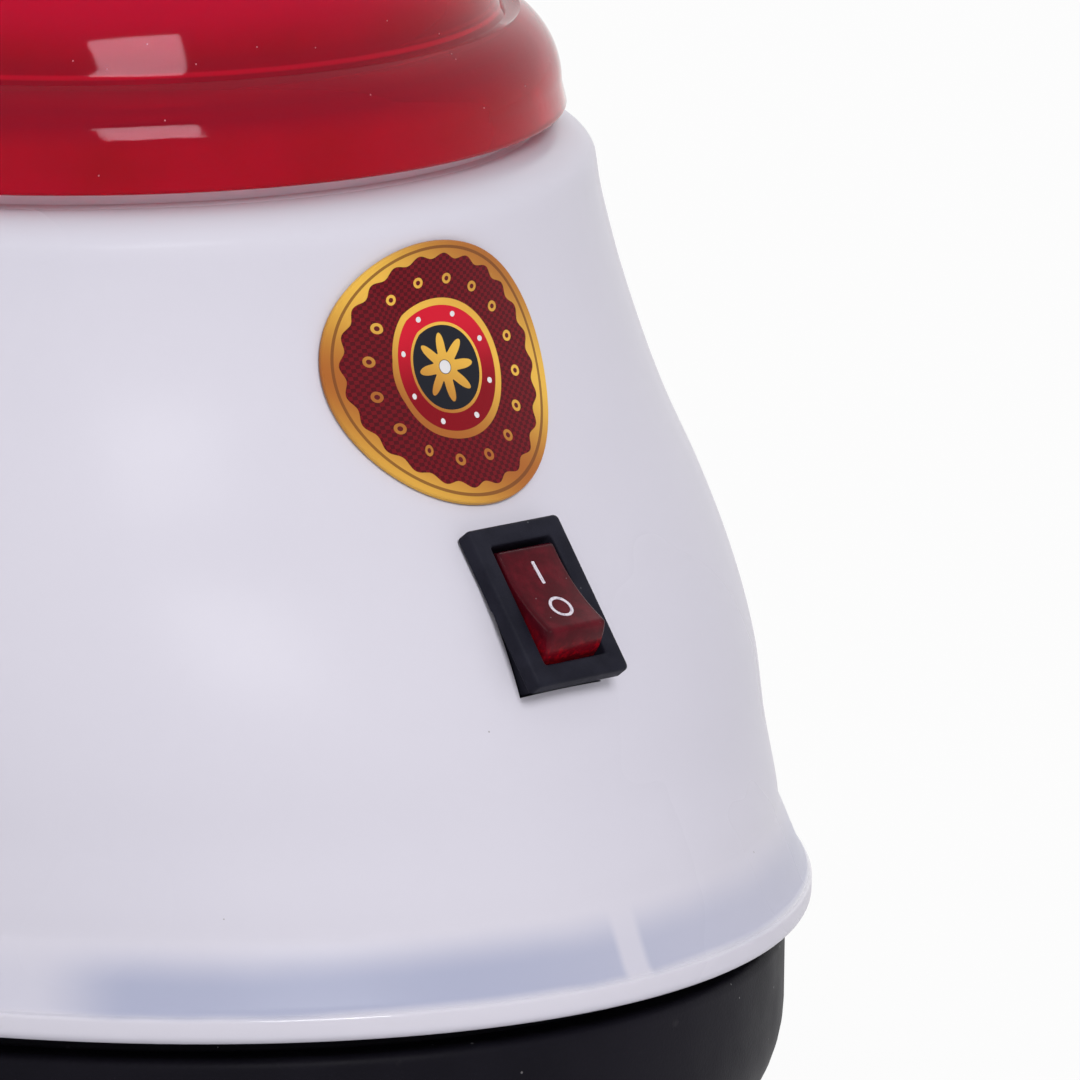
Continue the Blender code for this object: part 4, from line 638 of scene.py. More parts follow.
def makeBase():
    tray = turned("baseTray", trayProfile(), basePlastic(), steps=base["steps"])
    # The two floor ends are open ovals, so they are capped here
    work = bmesh.new()
    work.from_mesh(tray.data)
    bmesh.ops.holes_fill(work, edges=[edge for edge in work.edges if edge.is_boundary], sides=0)
    bmesh.ops.recalc_face_normals(work, faces=work.faces)
    work.to_mesh(tray.data)
    work.free()

    start, under, past = base["low"] + base["wall"] / 2, base["low"] - base["past"], base["past"]
    bosses = [rod("boss", base["boss"], start, base["shieldZ"] - gap, shifted(x, y, 0)) for x, y in tiePlaces]
    for side, (x, y) in zip((-1, 1), clampPlaces):
        bosses.append(rod("clampBoss", base["clampBoss"], start, base["clampTop"], shifted(x, y, 0)))
        bosses.append(block("post", base["post"], (base["postX"], base["postY"] + side * base["postApart"],
                                                   start + base["post"][2] / 2)))
    bosses.append(block("saddle", (*base["saddle"], base["saddleTop"] - start),
                        (0, base["clampY"], (base["saddleTop"] + start) / 2)))
    cut(tray, bosses, "UNION")
    tieHoles = ((base["tieHole"], under, base["shieldZ"] + past), (base["recess"], under, base["recessTop"]))
    holes = [rod("hole", *sizes, shifted(x, y, 0)) for places, kinds in (
        (tiePlaces, tieHoles), (footPlaces, [(base["footHole"], under, base["footHoleTop"])]),
        (clampPlaces, [(base["clampHole"], base["clampHoleLow"], base["clampHoleTop"])]))
        for x, y in places for sizes in kinds]
    holes += [rod("glandHole", radius, *reach, glandFrame, 48) for radius, reach in base["glandHoles"]]
    cut(tray, holes)
    settle(tray, "base", "base_black", "base_tray")


foot = {"radius": 0.007, "floor": 0.0061, "round": 0.0007, "stem": 0.002, "bead": 0.0028,
        "beadEdge": 0.0008, "beadHeight": 0.0024}


def makeFeet():
    paint = Paint("footRubber")
    worn = paint.parts(paint.place)[2].fall(0.0, 0.0009)
    paint.set(colour=paint.mix(worn * (0.4 + 0.6 * paint.noise(500, 3)), (0.014, 0.014, 0.015),
                               (0.07, 0.068, 0.066)),
              roughness=0.75 + paint.noise(900) * 0.15, normal=paint.grain(1800, 0.00008, 0.6, 3))
    top = base["low"] - gap
    bead = base["low"] + base["wall"] + gap
    radius, edge, stem, beadTop = foot["radius"], foot["round"], foot["stem"], bead + foot["beadHeight"]
    profile = ([(0, 0), (foot["floor"], 0)] + arc(foot["floor"], edge, edge, edge, -90, 0, 4)
               + [(radius, top - gap), (radius - gap, top), (stem, top), (stem, bead), (foot["bead"], bead),
                  (foot["bead"], bead + foot["beadEdge"]), (stem, beadTop), (0, beadTop)])
    piece = turned("foot", profile, paint, steps=48)
    feet = copiesOf("rubberFeet", piece, [((x, y, 0), (0, 0, 0)) for x, y in footPlaces], paint)
    settle(feet, "base", "foot_rubber", *numbered("rubber_foot", 4))


makeBase()
makeFeet()
print("base and feet ready")


# Switch housing and rocker

def bezelPlastic():
    paint = Paint("switchCharcoal", ior=1.15)
    colour = paint.layered(paint.noise(220, 4).blend(0.3, 0.7, (0.010, 0.010, 0.017), (0.017, 0.017, 0.027)),
                           (paint.specks(900, 0.00009, 0.12) * 0.5, (0.22, 0.22, 0.24)))
    return paint.set(colour=colour, roughness=0.42 + paint.noise(700) * 0.16,
                     normal=paint.grain(4200, 0.00004, 0.8))


def makeHousing():
    width, length, thick = switch["bezelWidth"], switch["bezelLength"], switch["bezelThickness"]
    edge, windowEdge = switch["edge"], switch["windowEdge"]
    inset, corner, depth = switch["bezelInset"], switch["bezelCorner"], switch["boxDepth"]

    def box(height):
        return roundRing(switch["boxWidth"], switch["boxLength"], switch["boxCorner"], height)

    def bezel(inset, height):
        return roundRing(width - inset, length - inset, corner, height)

    def window(inset, height):
        return roundRing(switch["windowWidth"] - 2 * inset, switch["windowLength"] - 2 * inset,
                         switch["windowCorner"], height)

    rings = [box(-depth), box(-thick), bezel(inset, -thick), bezel(0, -thick + 0.0002)]
    rings += [bezel(2 * inset, height) for inset, height in arc(edge, -edge, -edge, edge, 0, 90, 4)]
    rings += [window(inset, height) for inset, height in
              arc(-windowEdge, -windowEdge, windowEdge, windowEdge, 90, 0, 4)]
    rings.append(window(0, -depth + switch["boxFloor"]))
    housing = ringLoft("switchHousing", rings, bezelPlastic(), switchFrame)
    slots = [block("slot", switch["terminalSlot"], (0, row * switch["pitch"], -depth), switchFrame)
             for row in (-1, 0, 1)]
    slots.append(rod("pivot", switch["pin"] + gap, -switch["boxWidth"], switch["boxWidth"],
                     pivotFrame @ rotated(90, "Y")))
    cut(housing, slots)
    settle(housing, "base", "switch_charcoal", "switch_housing")


def rockerPlastic():
    # Dark clear red, with a painted glow low down where light comes through the thin side walls
    paint = Paint("rockerRed", ior=1.18, transmission=0.2)
    x, y, z = paint.parts(paint.place)
    centre = rockerFrame.translation
    along, height = ((y - centre.y) * axis.y + (z - centre.z) * axis.z
                     for axis in (rockerFrame.to_3x3() @ Vector(unit) for unit in ((0, 1, 0), (0, 0, 1))))
    # Painted glow: brighter low down on the rocker, in patches
    paintedGlowNoise = paint.noise(1500, 3).rise(0.45, 0.68)
    deep = height.fall(0.0012, 0.0037) * along.fall(-0.0045, 0.001)
    # Painted shade: darker on the end that is down, which lies in the housing's shade, and on the thicker
    # edges
    paintedShadeBorder = along.rise(0.0050, 0.0066) + x.math("ABSOLUTE").rise(0.0036, 0.0044) * 0.6
    colour = paint.layered(paint.noise(500, 3).blend(0.35, 0.7, (0.085, 0.004, 0.010), (0.135, 0.006, 0.015)),
                           (deep * (0.25 + 0.75 * paintedGlowNoise), (0.42, 0.004, 0.012)),
                           (paintedShadeBorder.capped() * height.rise(0.0025, 0.0045) * 0.65, (0.022, 0.003, 0.007)),
                           (paint.specks(1100, 0.00008, 0.1) * 0.6, (0.45, 0.35, 0.37)))
    return paint.set(colour=colour, roughness=0.16 + paint.noise(900) * 0.1,
                     normal=paint.grain(2600, 0.00004, 0.5, 3))


def faceHeight(share, cornerY):  # the rocker's hollow face; share is 0 at its middle, 1 at its corner
    return cornerY - switch["dish"] * (1 - share * share)


def makeRocker():
    reach = switch["windowLength"] / 2 - gap
    right = arc(0, 0, reach, reach, switch["heel"], switch["corner"], 14)
    cornerX, cornerY = right[-1]
    shares = [1 - step / 10 for step in range(1, 20)]
    left = [(-x, y) for x, y in reversed(right)]
    keel = switch["pivotDepth"] - switch["keelDepth"]
    outline = (right + [(cornerX * share, faceHeight(share, cornerY)) for share in shares] + left
               + [(-switch["keelHalf"], keel), (switch["keelHalf"], keel)])
    half = switch["windowWidth"] / 2 - gap
    rings = [[(side, y, z) for y, z in outline] for side in (-half, half)]
    rocker = ringLoft("rocker", rings, rockerPlastic())
    bevelled(rocker, switch["rockerEdge"], 50)
    rocker.data.transform(rockerFrame)
    pins = rod("pins", switch["pin"], -half - switch["pinReach"], half + switch["pinReach"],
               rockerFrame @ rotated(90, "Y"))
    cut(rocker, [pins], "UNION")
    cut(rocker, [rod("socket", switch["socket"], keel - 0.002, keel + 0.003, rockerFrame)])
    settle(rocker, "rocker", "rocker_red", "switch_rocker")
    return cornerX, cornerY


marks = {"barLength": 0.0031, "barWidth": 0.00045, "barY": 0.00265, "ringOuter": 0.0016, "ringInner": 0.0012,
         "ringY": -0.0026, "height": 0.00006, "sunk": -0.00004}


def makeMarks(cornerX, cornerY):
    # The plain I and O, printed on the rocker's hollow face
    paint = Paint("markWhite", roughness=0.35)
    paint.set(colour=paint.noise(1800, 3).blend(0.3, 0.5, (0.48, 0.42, 0.52), (0.74, 0.69, 0.78)))

    def band(name, inner, outer, closed):
        # A flat strip between two outlines, bent to the face, with its own thickness
        rings = [[Vector((x, y, faceHeight(y / cornerX, cornerY) + lift)) for x, y in outline]
                 for outline, lift in ((outer, marks["sunk"]), (outer, marks["height"]),
                                       (inner, marks["height"]), (inner, marks["sunk"]))]
        return ringLoft(name, rings, paint, rockerFrame, closed=closed)

    ring = [[(x, y + marks["ringY"]) for x, y in arc(0, 0, marks[radius], marks[radius], 0, 352.5, 47)]
            for radius in ("ringInner", "ringOuter")]
    width, length = marks["barWidth"], marks["barLength"]
    bar = [[(x, y + marks["barY"]) for x, y, flat in
            roundRing(width * share, length - width * (1 - share), width * 0.2 * share, 0, 3)]
           for share in (0.1, 1)]
    items = [band("markO", *ring, True), band("markI", *bar, False)]
    settle(joined("rockerMarks", items, paint), "rocker", "rocker_red")


makeHousing()
makeMarks(*makeRocker())
print("switch ready")


# Plaque: a printed oval with a gold rim, maroon field and dark centre, of plain geometric motifs

plaque = {"z": 0.1053, "width": 0.035, "height": 0.034, "thickness": 0.0006, "bevel": 0.00015, "lean": 27.0,
          "rings": 14, "steps": 96, "rim": 0.86, "rimLine": 0.93, "line": 0.5, "disc": 0.33, "centre": 0.05,
          "petals": 8, "pearlRing": 0.415, "dots": 16, "dotRing": 0.68, "scallops": 24}
plaqueHalf = (plaque["width"] / 2, plaque["height"] / 2 * math.cos(math.radians(plaque["lean"])))


def beads(angle, radius, count, ring):
    # How far a point is from the nearest of a ring's beads
    share = (angle / fullTurn + 0.5) * count
    away = (share.math("FRACT") - 0.5) / count * fullTurn * ring
    return (away * away + (radius - ring) * (radius - ring)).math("SQRT")


def plaquePrint():
    paint = Paint("plaquePrint", ior=1.2)
    x, y, z = paint.parts(paint.place)
    u = x * (1 / plaqueHalf[0])
    v = (z - plaque["z"] - plaque["thickness"] * 0.6) * (1 / plaqueHalf[1])
    radius = (u * u + v * v).math("SQRT")
    angle = v.math("ARCTAN2", u)
    pale = (0.78, 0.76, 0.78)
    # Painted sheen: the gold runs from bronze to bright gold in soft diagonal bands across the plaque
    paintedSheen = (u * 2.2 + v * 3.4 + 0.4).math("SINE") * 0.5 + 0.5
    gold = paint.mix(paintedSheen, (0.42, 0.135, 0.03), (0.86, 0.50, 0.08))
    check = (u * 95).math("SINE") * (v * 108).math("SINE")
    maroon = paint.mix(check.above(0.0) * 0.7, (0.17, 0.005, 0.012), (0.05, 0.003, 0.007))
    dark = paint.mix((v + 1) * 0.5, (0.008, 0.009, 0.014), (0.016, 0.017, 0.027))
    red = (v * 1.6 + 0.4).blend(0.0, 1.0, (0.24, 0.003, 0.010), (0.66, 0.012, 0.034))
    petal = (angle * plaque["petals"]).math("COSINE") * 0.5 + 0.5
    rosette = radius.below(petal * 0.15 + 0.11) * radius.above(0.055)
    pearl = beads(angle, radius, plaque["petals"], plaque["pearlRing"])
    dot = beads(angle, radius, plaque["dots"], plaque["dotRing"])
    line = radius.away(plaque["line"]).below(0.028)
    scallop = (angle * plaque["scallops"]).math("COSINE") * 0.02
    rim = (radius + scallop).above(plaque["rim"])
    colour = paint.layered(
        maroon, (radius.below(plaque["line"]), red), (radius.below(plaque["disc"]), dark), (rosette, gold),
        (radius.below(plaque["centre"]), pale), (pearl.below(0.022), pale), (dot.below(0.042), gold),
        (dot.below(0.019), (0.12, 0.01, 0.015)), (line, gold),
        (radius.away(plaque["disc"]).below(0.012), gold), (rim, gold),
        (radius.away(plaque["rimLine"]).below(0.012) * 0.8, (0.18, 0.06, 0.02)))
    return paint.set(colour=colour, roughness=0.2 + paint.noise(700) * 0.1,
                     normal=paint.bump(rim + line, 0.00008, 0.6))


def wallPoint(across, along, lift):
    height = plaque["z"] + along
    halfWidth, halfLength = wallAt(height)
    y = -halfLength * math.sqrt(1 - (across / halfWidth) ** 2)
    above, below = wallAt(height + gap)[1], wallAt(height - gap)[1]
    normal = Vector((across / halfWidth ** 2, y / halfLength ** 2, 0)).normalized()
    normal.z = (below - above) / (2 * gap)
    return Vector((across, y, height)) + normal.normalized() * lift


def makePlaque():
    halfWidth, halfHeight = plaqueHalf
    steps, rings, bevel = plaque["steps"], plaque["rings"], plaque["bevel"]
    high = gap + plaque["thickness"]
    levels = [(gap, 1.0), (high - bevel, 1.0), (high, 1.0 - bevel / halfWidth)]
    levels += [(high, 1 - ring / rings) for ring in range(1, rings)]
    work = bmesh.new()
    layers = [[work.verts.new(wallPoint(share * math.cos(fullTurn * step / steps) * halfWidth,
                                        share * math.sin(fullTurn * step / steps) * halfHeight, lift))
               for step in range(steps)] for lift, share in levels]
    centre = work.verts.new(wallPoint(0, 0, high))
    for step in range(steps):
        after = (step + 1) % steps
        for outer, inner in zip(layers, layers[1:]):
            work.faces.new((outer[step], outer[after], inner[after], inner[step]))
        work.faces.new((layers[-1][step], layers[-1][after], centre))
    work.faces.new(layers[0])
    bmesh.ops.recalc_face_normals(work, faces=work.faces)
    item = addObject("plaque", smooth(meshFrom(work, "plaque")), plaquePrint())
    settle(item, "base", "plaque_maroon", "label_plaque")


makePlaque()
print("plaque ready")


# Heating well and pot: two spun cups, and the pot's riveted grips

well = {"radius": 0.0569, "wall": 0.0012, "bottom": 0.070, "corner": 0.008, "flange": 0.0583,
        "flangeZ": 0.1356, "flangeThick": 0.001}
pot = {"radius": 0.0541, "wall": 0.001, "bottom": 0.0715, "corner": 0.007, "flange": 0.0568,
       "flangeZ": 0.1369, "flangeThick": 0.0008}
grips = {"rivetZ": 0.129, "rivetX": 0.0045, "width": 0.018, "thick": 0.0025, "low": 0.122, "top": 0.1408,
         "corner": 0.006, "edge": 0.0006, "setback": 0.0012, "drill": 0.0015, "drillReach": (0.045, 0.060),
         "shank": 0.0012, "tail": 0.0021, "head": 0.0024, "headHeight": 0.0005}


def spunAluminium(name, colour, rough, rings):
    # Turning lines run round the axis; the floor has its own fine rings
    paint = Paint(name, metallic=1.0)
    x, y, z = paint.parts(paint.place)
    radius = (x * x + y * y).math("SQRT")
    lines = paint.noise(rings, 2, paint.vector(radius, z, 0.0))
    cloud = paint.noise(40, 3)
    return paint.set(colour=cloud.blend(0.3, 0.7, colour, tuple(value * 0.86 for value in colour)),
                     roughness=rough + lines * 0.12 + cloud * 0.06, normal=paint.bump(lines, 0.00004, 0.35))


def cupProfile(cup):
    radius, wall, bottom, corner, flange, flangeZ, thick = cup.values()
    inner, top, half = corner - wall, flangeZ + thick, thick / 2
    mouth, neck, middle = 0.0006, 0.0003, 0.01
    return ([(0, bottom + wall), (middle, bottom + wall)]
            + arc(radius - corner, bottom + corner, inner, -inner, 90, 0, 8)
            + [(radius - wall, top - mouth), (radius - wall + mouth, top)]
            + arc(flange - half, flangeZ + half, half, half, 90, -90, 6)
            + [(radius + neck, flangeZ), (radius, flangeZ - neck)]
            + arc(radius - corner, bottom + corner, corner, -corner, 0, 90, 8)
            + [(middle, bottom), (0, bottom)])


def rivetDrills(side):
    return [rod("drill", grips["drill"], *grips["drillReach"], shifted(x, 0, grips["rivetZ"])
                @ rotated(-90 * side), 16) for x in (-grips["rivetX"], grips["rivetX"])]


def makeVessels():
    paint = spunAluminium("wellAluminium", (0.66, 0.66, 0.68), 0.3, 1400)
    settle(turned("heatingWell", cupProfile(well), paint), "base", "well_aluminium", "heating_well")
    item = turned("waxPot", cupProfile(pot), spunAluminium("potAluminium", (0.78, 0.78, 0.79), 0.2, 900))
    cut(item, rivetDrills(-1) + rivetDrills(1))
    settle(item, "pot", "pot_aluminium", "wax_pot")


def makeGrips():
    paint = Paint("gripBlack")
    paint.set(colour=paint.noise(300, 4).blend(0.3, 0.75, (0.012, 0.011, 0.011), (0.03, 0.027, 0.026)),
              roughness=0.36 + paint.noise(500) * 0.16, normal=paint.grain(3000, 0.00004))
    half = grips["thick"] / 2
    gripY = pot["radius"] - pot["wall"] - grips["setback"] - half
    height, middle = grips["top"] - grips["low"], (grips["top"] + grips["low"]) / 2
    for number, side in enumerate((-1, 1), 1):
        rings = [[(x, side * gripY + depth, middle + z) for x, z, flat in
                  roundRing(grips["width"], height, grips["corner"], 0, 8)] for depth in (-half, half)]
        grip = ringLoft(f"potGrip{number}", rings, paint)
        bevelled(grip, grips["edge"])
        cut(grip, rivetDrills(side))
        settle(grip, "pot", "grip_black", f"pot_grip_{number}")

    rivetPaint = Paint("rivetAluminium", metallic=1.0, colour=(0.75, 0.75, 0.76))
    rivetPaint.set(roughness=0.22 + rivetPaint.noise(900, 3) * 0.2)
    shank, head, low = grips["shank"], grips["head"], grips["headHeight"]
    inner = gripY - half - gap
    outer = math.sqrt(pot["radius"] ** 2 - (grips["rivetX"] - head) ** 2) + gap
    profile = [(0, outer + low), (shank, outer + low), (grips["tail"], outer), (shank, outer), (shank, inner),
               (head, inner), (head - 0.0002, inner - 0.0002), (head - 0.0008, inner - 0.0004),
               (head - 0.0016, inner - low), (0, inner - low)]
    rivet = turned("rivet", profile, rivetPaint, steps=32)
    places = [((x, 0, grips["rivetZ"]), (-side * math.pi / 2, 0, 0)) for side in (-1, 1)
              for x in (-grips["rivetX"], grips["rivetX"])]
    rivets = copiesOf("gripRivets", rivet, places, rivetPaint)
    settle(rivets, "pot", "rivet_aluminium", *numbered("pot_rivet", 4))


makeVessels()
makeGrips()
print("well, pot and grips ready")


# Lid and knob

lid = {"radius": 0.0632, "low": 0.1281, "draft": 0.0006, "wall": 0.002, "edge": 0.0006, "shoulderZ": 0.1312,
       "round": 0.0105, "end": 60.0, "valleyOuter": 0.0568, "valleyInner": 0.0556, "valleyZ": 0.1400,
       "dome": 0.056, "domeHeight": 0.036, "top": 0.170, "domeStart": 10.8, "domeEnd": 77.0, "domeSteps": 40,
       "steps": 160, "knobBase": 0.0105, "knobNeck": 0.0072, "knob": 0.0135, "knobHeight": 0.019,
       "knobBore": 0.012, "hole": 0.0018}


def clearRed():
    # Clear deep red moulding; its colours by height stand for the thicker skirt and the bright dome, as
    # painted shade on the shoulder, a painted glow on the dome and a painted highlight line above the valley
    paint = Paint("lidRed", ior=1.24, transmission=0.62, specularTint=(1.0, 0.75, 0.9))
    z = paint.parts(paint.place)[2]
    dust = paint.specks(640, 0.0001, 0.09)
    # Painted shade on the shoulder band, painted glow on the dome, painted highlight on a thin line just
    # above the valley
    colour = paint.layered(paint.noise(60, 3).blend(0.3, 0.7, (0.54, 0.0003, 0.014), (0.62, 0.0005, 0.026)),
                           (z.between(0.1330, 0.1365, 0.1402, 0.1440), (0.50, 0.0005, 0.026)),
                           (z.rise(0.1420, 0.1490), (0.82, 0.001, 0.050)),
                           (z.between(0.1404, 0.1407, 0.1409, 0.1412), (0.95, 0.002, 0.04)),
                           (dust * 0.8, (0.75, 0.45, 0.50)))
    ripple = z.between(0.128, 0.131, 0.134, 0.137) * paint.noise(900, 3)
    return paint.set(colour=colour, roughness=0.04 + dust * 0.4 + paint.noise(400, 3) * 0.03,
                     normal=paint.bump(paint.noise(30) + ripple * 0.08, 0.0006, 0.3))


def lidSkin(inset):
    rounding, top = lid["round"] - inset, lid["top"]
    land = [(lid["hole"], top - inset), (lid["knobBase"], top - inset)]
    dome = arc(0, top - lid["domeHeight"], lid["dome"] - inset, lid["domeHeight"] - inset,
               lid["domeEnd"], lid["domeStart"], lid["domeSteps"])
    valley = [(lid[side] - inset / 2, lid["valleyZ"] - inset) for side in ("valleyInner", "valleyOuter")]
    shoulder = arc(lid["radius"] - lid["draft"] - lid["round"], lid["shoulderZ"], rounding, rounding,
                   lid["end"], 0, 14)
    return land + dome + valley + shoulder


def makeLid():
    radius, edge = lid["radius"], lid["edge"]
    level = lid["low"] + edge
    skirt = ([(radius, level)] + arc(radius - edge, level, edge, edge, -20, -90, 3)
             + arc(radius - lid["wall"] + edge, level, -edge, -edge, 90, 0, 3))
    profile = lidSkin(0) + skirt + list(reversed(lidSkin(lid["wall"])))
    shell = turned("lidShell", profile, clearRed(), steps=lid["steps"], closed=True)
    settle(shell, "lid", "lid_red", "lid_shell")


def makeKnob():
    paint = Paint("knobBlack", ior=1.32)
    dust = paint.specks(520, 0.00014, 0.06)
    paint.set(colour=paint.mix(dust * 0.5, (0.011, 0.010, 0.012), (0.25, 0.24, 0.25)),
              roughness=0.16 + paint.noise(300, 3) * 0.1, normal=paint.grain(60, 0.0003, 0.3))
    low = lid["top"] + gap
    third = lid["knobHeight"] / 3
    neck, seat, hole, bore = lid["knobNeck"], lid["knobBase"], lid["hole"], low + lid["knobBore"]
    profile = [(0, low + 3 * third)] + arc(0, low + 2 * third, lid["knob"], third, 84, -25, 20)
    profile += [(neck + 0.0012, low + third + 0.0016), (neck, low + third),
                (neck + 0.0003, low + third - 0.002), (seat - 0.0012, low + 0.0018),
                (seat - 0.0002, low + 0.0011), (seat, low + 0.0006), (seat - 0.0003, low), (hole, low),
                (hole, bore), (0, bore)]
    settle(turned("lidKnob", profile, paint, steps=96), "lid", "knob_black", "lid_knob")


makeLid()
makeKnob()
print("lid and knob ready")


# Small hardware that shows: the cord gland at the back and the screws under the base

def zincSteel(name, colour=(0.56, 0.56, 0.58), rough=0.26):
    paint = Paint(name, metallic=1.0)
    stain = paint.noise(260, 4)
    return paint.set(colour=stain.blend(0.4, 0.75, colour, tuple(value * 0.72 for value in colour)),
                     roughness=rough + stain * 0.22, normal=paint.grain(1600, 0.00003))


gland = {"bore": 0.0032, "stem": 0.0046, "barb": 0.0058, "flange": 0.0062, "edge": 0.0009, "out": 0.0018,
         "lip": 0.0012, "tail": 0.002}


def makeGland():
    paint = Paint("glandRubber")
    paint.set(colour=paint.noise(400, 3).blend(0.4, 0.8, (0.012, 0.012, 0.013), (0.035, 0.034, 0.034)),
              roughness=0.55 + paint.noise(800) * 0.2, normal=paint.grain(2000, 0.00006, detail=3))
    bore, stem, flange, edge = gland["bore"], gland["stem"], gland["flange"], gland["edge"]
    lip = -(base["wall"] + gland["lip"])
    tail, out = lip - gland["tail"], gap + gland["out"]
    profile = ([(bore, tail), (stem, tail), (gland["barb"], lip), (stem, lip), (stem, gap), (flange, gap),
                (flange, gap + edge)] + arc(flange - edge, gap + edge, edge, edge, 10, 90, 5)
               + [(bore + 0.0004, out), (bore, out - 0.0004)])
    item = turned("cordGland", profile, paint, steps=64, turn=glandFrame, closed=True)
    settle(item, "base", "gland_rubber", "cord_gland")


tie = {"shank": 0.002, "tip": 0.0694, "chamfer": 0.0003, "head": 0.0038, "headHeight": 0.0034,
       "slotLength": 0.0044, "slotWidth": 0.0008, "slotDepth": 0.003, "firstTurn": 0.4, "turnStep": 1.1}


def makeTieScrews():
    paint = zincSteel("tieSteel")
    shank, tip = tie["shank"], tie["tip"]
    headTop = base["recessTop"] - gap
    low = headTop - tie["headHeight"]
    profile = [(0, tip), (shank - tie["chamfer"], tip), (shank, tip - 0.0004), (shank, headTop),
               (tie["head"], headTop), (tie["head"], low + 0.0012), (0.0034, low + 0.0005),
               (0.0024, low + 0.0001), (0, low)]
    screw = turned("screw", profile, paint, steps=32)
    long, wide, deep = tie["slotLength"], tie["slotWidth"], tie["slotDepth"]
    cut(screw, [block("cross", size, (0, 0, low)) for size in ((long, wide, deep), (wide, long, deep))])
    places = [((x, y, 0), (0, 0, tie["firstTurn"] + tie["turnStep"] * number))
              for number, (x, y) in enumerate(tiePlaces)]
    settle(copiesOf("tieScrews", screw, places, paint), "base", "screw_steel", *numbered("tie_screw", 3))


makeGland()
makeTieScrews()
print("gland and screws ready")


# Finishes for the pieces that stay as the frame made them

def coloured(name, light, dark, scale, rough, grain=2000, depth=0.00004, **fixed):
    paint = Paint(name, **fixed)
    patch = paint.noise(scale, 4)
    return paint.set(colour=patch.blend(0.3, 0.72, light, dark), roughness=rough + patch * 0.15,
                     normal=paint.grain(grain, depth))


def finishKeptNodes():
    metal = {"metallic": 1.0}
    steelNodes = ["lid_washer", "lid_knob_screw", "weld_stud", "stud_nut", "rocker_plunger",
                  "fuse_clip_screw", *numbered("tie_nut", 3), *numbered("shield_nut", 3),
                  *numbered("thermostat_screw", 2), *numbered("clamp_screw", 2)]
    finishes = [(zincSteel("screwSteel"), steelNodes),
                (zincSteel("platedSteel", (0.50, 0.50, 0.51), 0.34), ["fuse_clip", "bracket_plate"])]
    for name, light, dark, scale, rough, more, kept in (
            ("terminalBrass", (0.72, 0.52, 0.24), (0.48, 0.32, 0.14), 300, 0.24, metal,
             numbered("switch_terminal", 3) + numbered("block_screw", 3)),
            ("contactCopper", (0.72, 0.36, 0.20), (0.42, 0.18, 0.10), 300, 0.24, metal, ["contact_lever"]),
            ("heaterMica", (0.36, 0.26, 0.16), (0.20, 0.14, 0.09), 160, 0.5, {"depth": 0.0001},
             ["heater_disc"]),
            ("shieldAluminium", (0.78, 0.78, 0.79), (0.60, 0.60, 0.62), 90, 0.22,
             {"grain": 300, "depth": 0.0002, **metal}, ["heat_shield"]),
            ("thermostatBakelite", (0.075, 0.045, 0.035), (0.04, 0.024, 0.02), 240, 0.42, {}, ["thermostat"]),
            ("fuseCeramic", (0.74, 0.71, 0.64), (0.60, 0.56, 0.50), 240, 0.45, {}, ["thermal_fuse"]),
            ("blockNylon", (0.72, 0.72, 0.69), (0.60, 0.60, 0.57), 200, 0.42, {}, ["terminal_block"]),
            ("clampNylon", (0.018, 0.018, 0.018), (0.035, 0.034, 0.034), 200, 0.45, {}, ["cord_clamp"]),
            ("leadBrown", (0.20, 0.06, 0.03), (0.14, 0.04, 0.02), 260, 0.42, {}, ["lead_live"]),
            ("leadRed", (0.36, 0.03, 0.02), (0.25, 0.02, 0.015), 260, 0.42, {},
             ["lead_switched", "lead_heater"]),
            ("leadBlue", (0.03, 0.09, 0.36), (0.02, 0.06, 0.25), 260, 0.42, {},
             ["lead_lamp", "lead_neutral"]),
            ("lampGlass", (0.92, 0.78, 0.70), (0.85, 0.66, 0.58), 300, 0.05, {"transmission": 0.8},
             ["neon_lamp"])):
        finishes.append((coloured(name, light, dark, scale, rough, **more), kept))
    for paint, kept in finishes:
        for name in kept:
            dress(nodes[name].data, paint)


finishKeptNodes()
print("finishes ready")


# Floor, world and lamps

light = {"world": 0.41, "floorWhite": 0.93, "floorRadius": 9, "aimZ": 0.12,
         "cameraAzimuth": 41.7}  # degrees from the front, to the viewer's left
lamps = {  # degrees from the camera, elevation, distance, size, power
    "keySoftbox": (-24.0, 34.0, 1.25, (0.45, 0.35), 7.7), "fillSoftbox": (70, 25, 1.6, (0.8, 0.8), 2.9),
    "backSoftbox": (-178, 38, 1.6, (0.8, 0.8), 6.0)}


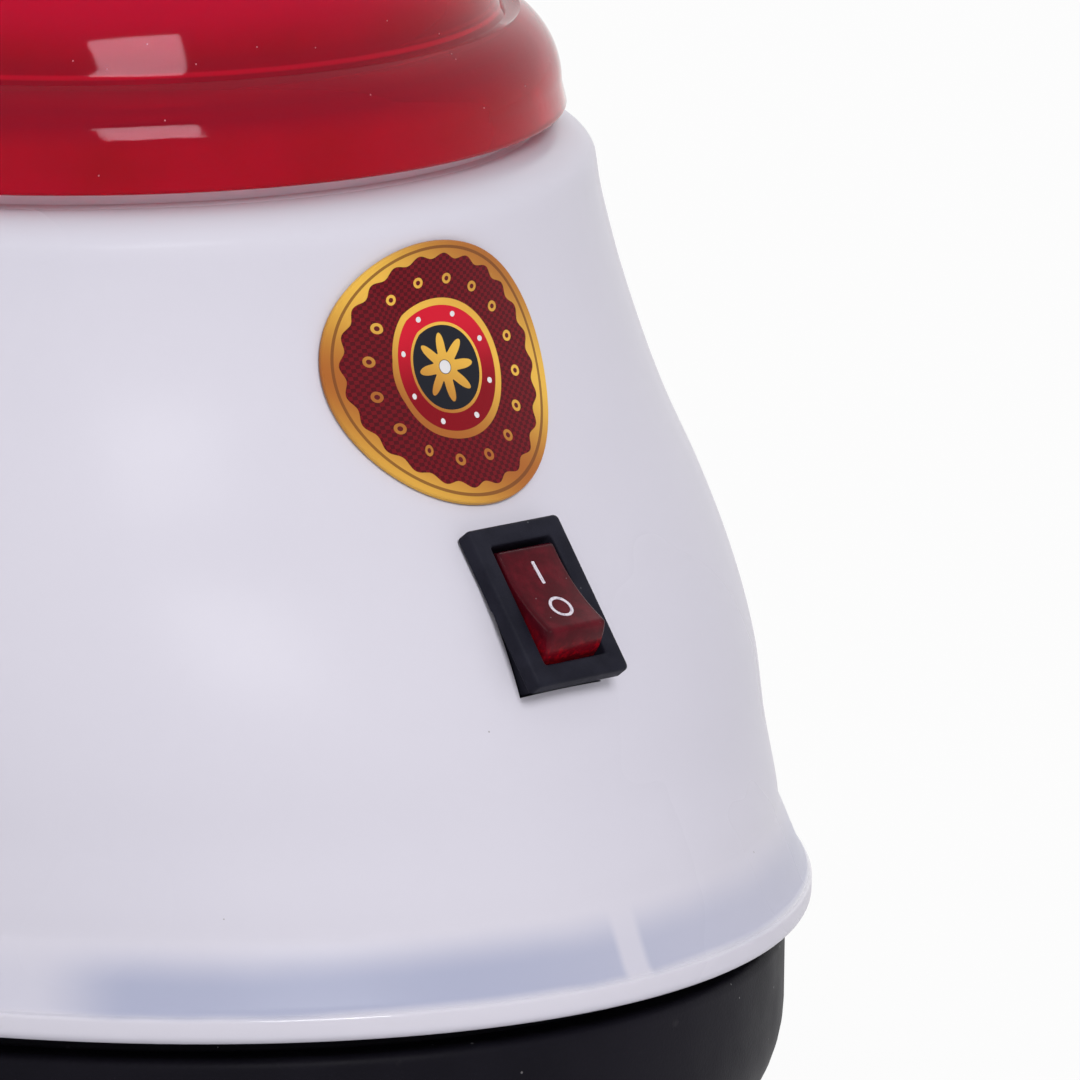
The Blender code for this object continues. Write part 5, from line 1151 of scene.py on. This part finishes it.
def seenDirectly(graph):
    path = graph.node("ShaderNodeLightPath")
    seen, glossy, clear = (Link(graph, path.outputs[f"Is {kind} Ray"])
                           for kind in ("Camera", "Glossy", "Transmission"))
    return (seen + glossy + clear).capped()


def makeFloor():
    bpy.ops.mesh.primitive_circle_add(vertices=96, radius=light["floorRadius"], fill_type="NGON")
    floor = bpy.context.object
    floor.name = "floor"
    material = bpy.data.materials.new("floorPale")
    material.use_nodes = True
    graph = Graph(material.node_tree)
    graph.place = graph.link("ShaderNodeTexCoord", output="Object")
    grain = graph.mix(graph.noise(6), (0.80, 0.80, 0.80), (0.83, 0.83, 0.83))
    paper = graph.link("ShaderNodeBsdfDiffuse", {0: grain})
    white = graph.link("ShaderNodeEmission", {"Color": (1, 1, 1, 1), "Strength": 1.0})
    share = seenDirectly(graph) * light["floorWhite"]
    both = graph.link("ShaderNodeMixShader", {0: share, 1: paper, 2: white})
    graph.node("ShaderNodeOutputMaterial", {0: both})
    floor.data.materials.append(material)


def makeWorld():
    world = bpy.data.worlds.new("studio")
    bpy.context.scene.world = world
    world.use_nodes = True
    graph = Graph(world.node_tree)
    strength = seenDirectly(graph) * (1 - light["world"]) + light["world"]
    background = graph.link("ShaderNodeBackground", {"Color": (1, 1, 1, 1), "Strength": strength})
    graph.node("ShaderNodeOutputWorld", {0: background})


def makeLamp(name, azimuth, elevation, distance, size, power):
    data = bpy.data.lights.new(name, "AREA")
    data.shape = "RECTANGLE"
    data.size, data.size_y = size
    data.energy = power
    item = bpy.data.objects.new(name, data)
    bpy.context.scene.collection.objects.link(item)
    around, up = math.radians(light["cameraAzimuth"] + azimuth), math.radians(elevation)
    towards = Vector((-math.sin(around) * math.cos(up), -math.cos(around) * math.cos(up), math.sin(up)))
    place = Vector((0, 0, light["aimZ"])) + towards * distance
    item.matrix_world = Matrix.Translation(place) @ (-towards).to_track_quat("-Z", "Y").to_matrix().to_4x4()


makeFloor()
makeWorld()
for name, values in lamps.items():
    makeLamp(name, *values)
bpy.context.scene.view_settings.view_transform = "Standard"
print("floor, world and lamps ready")
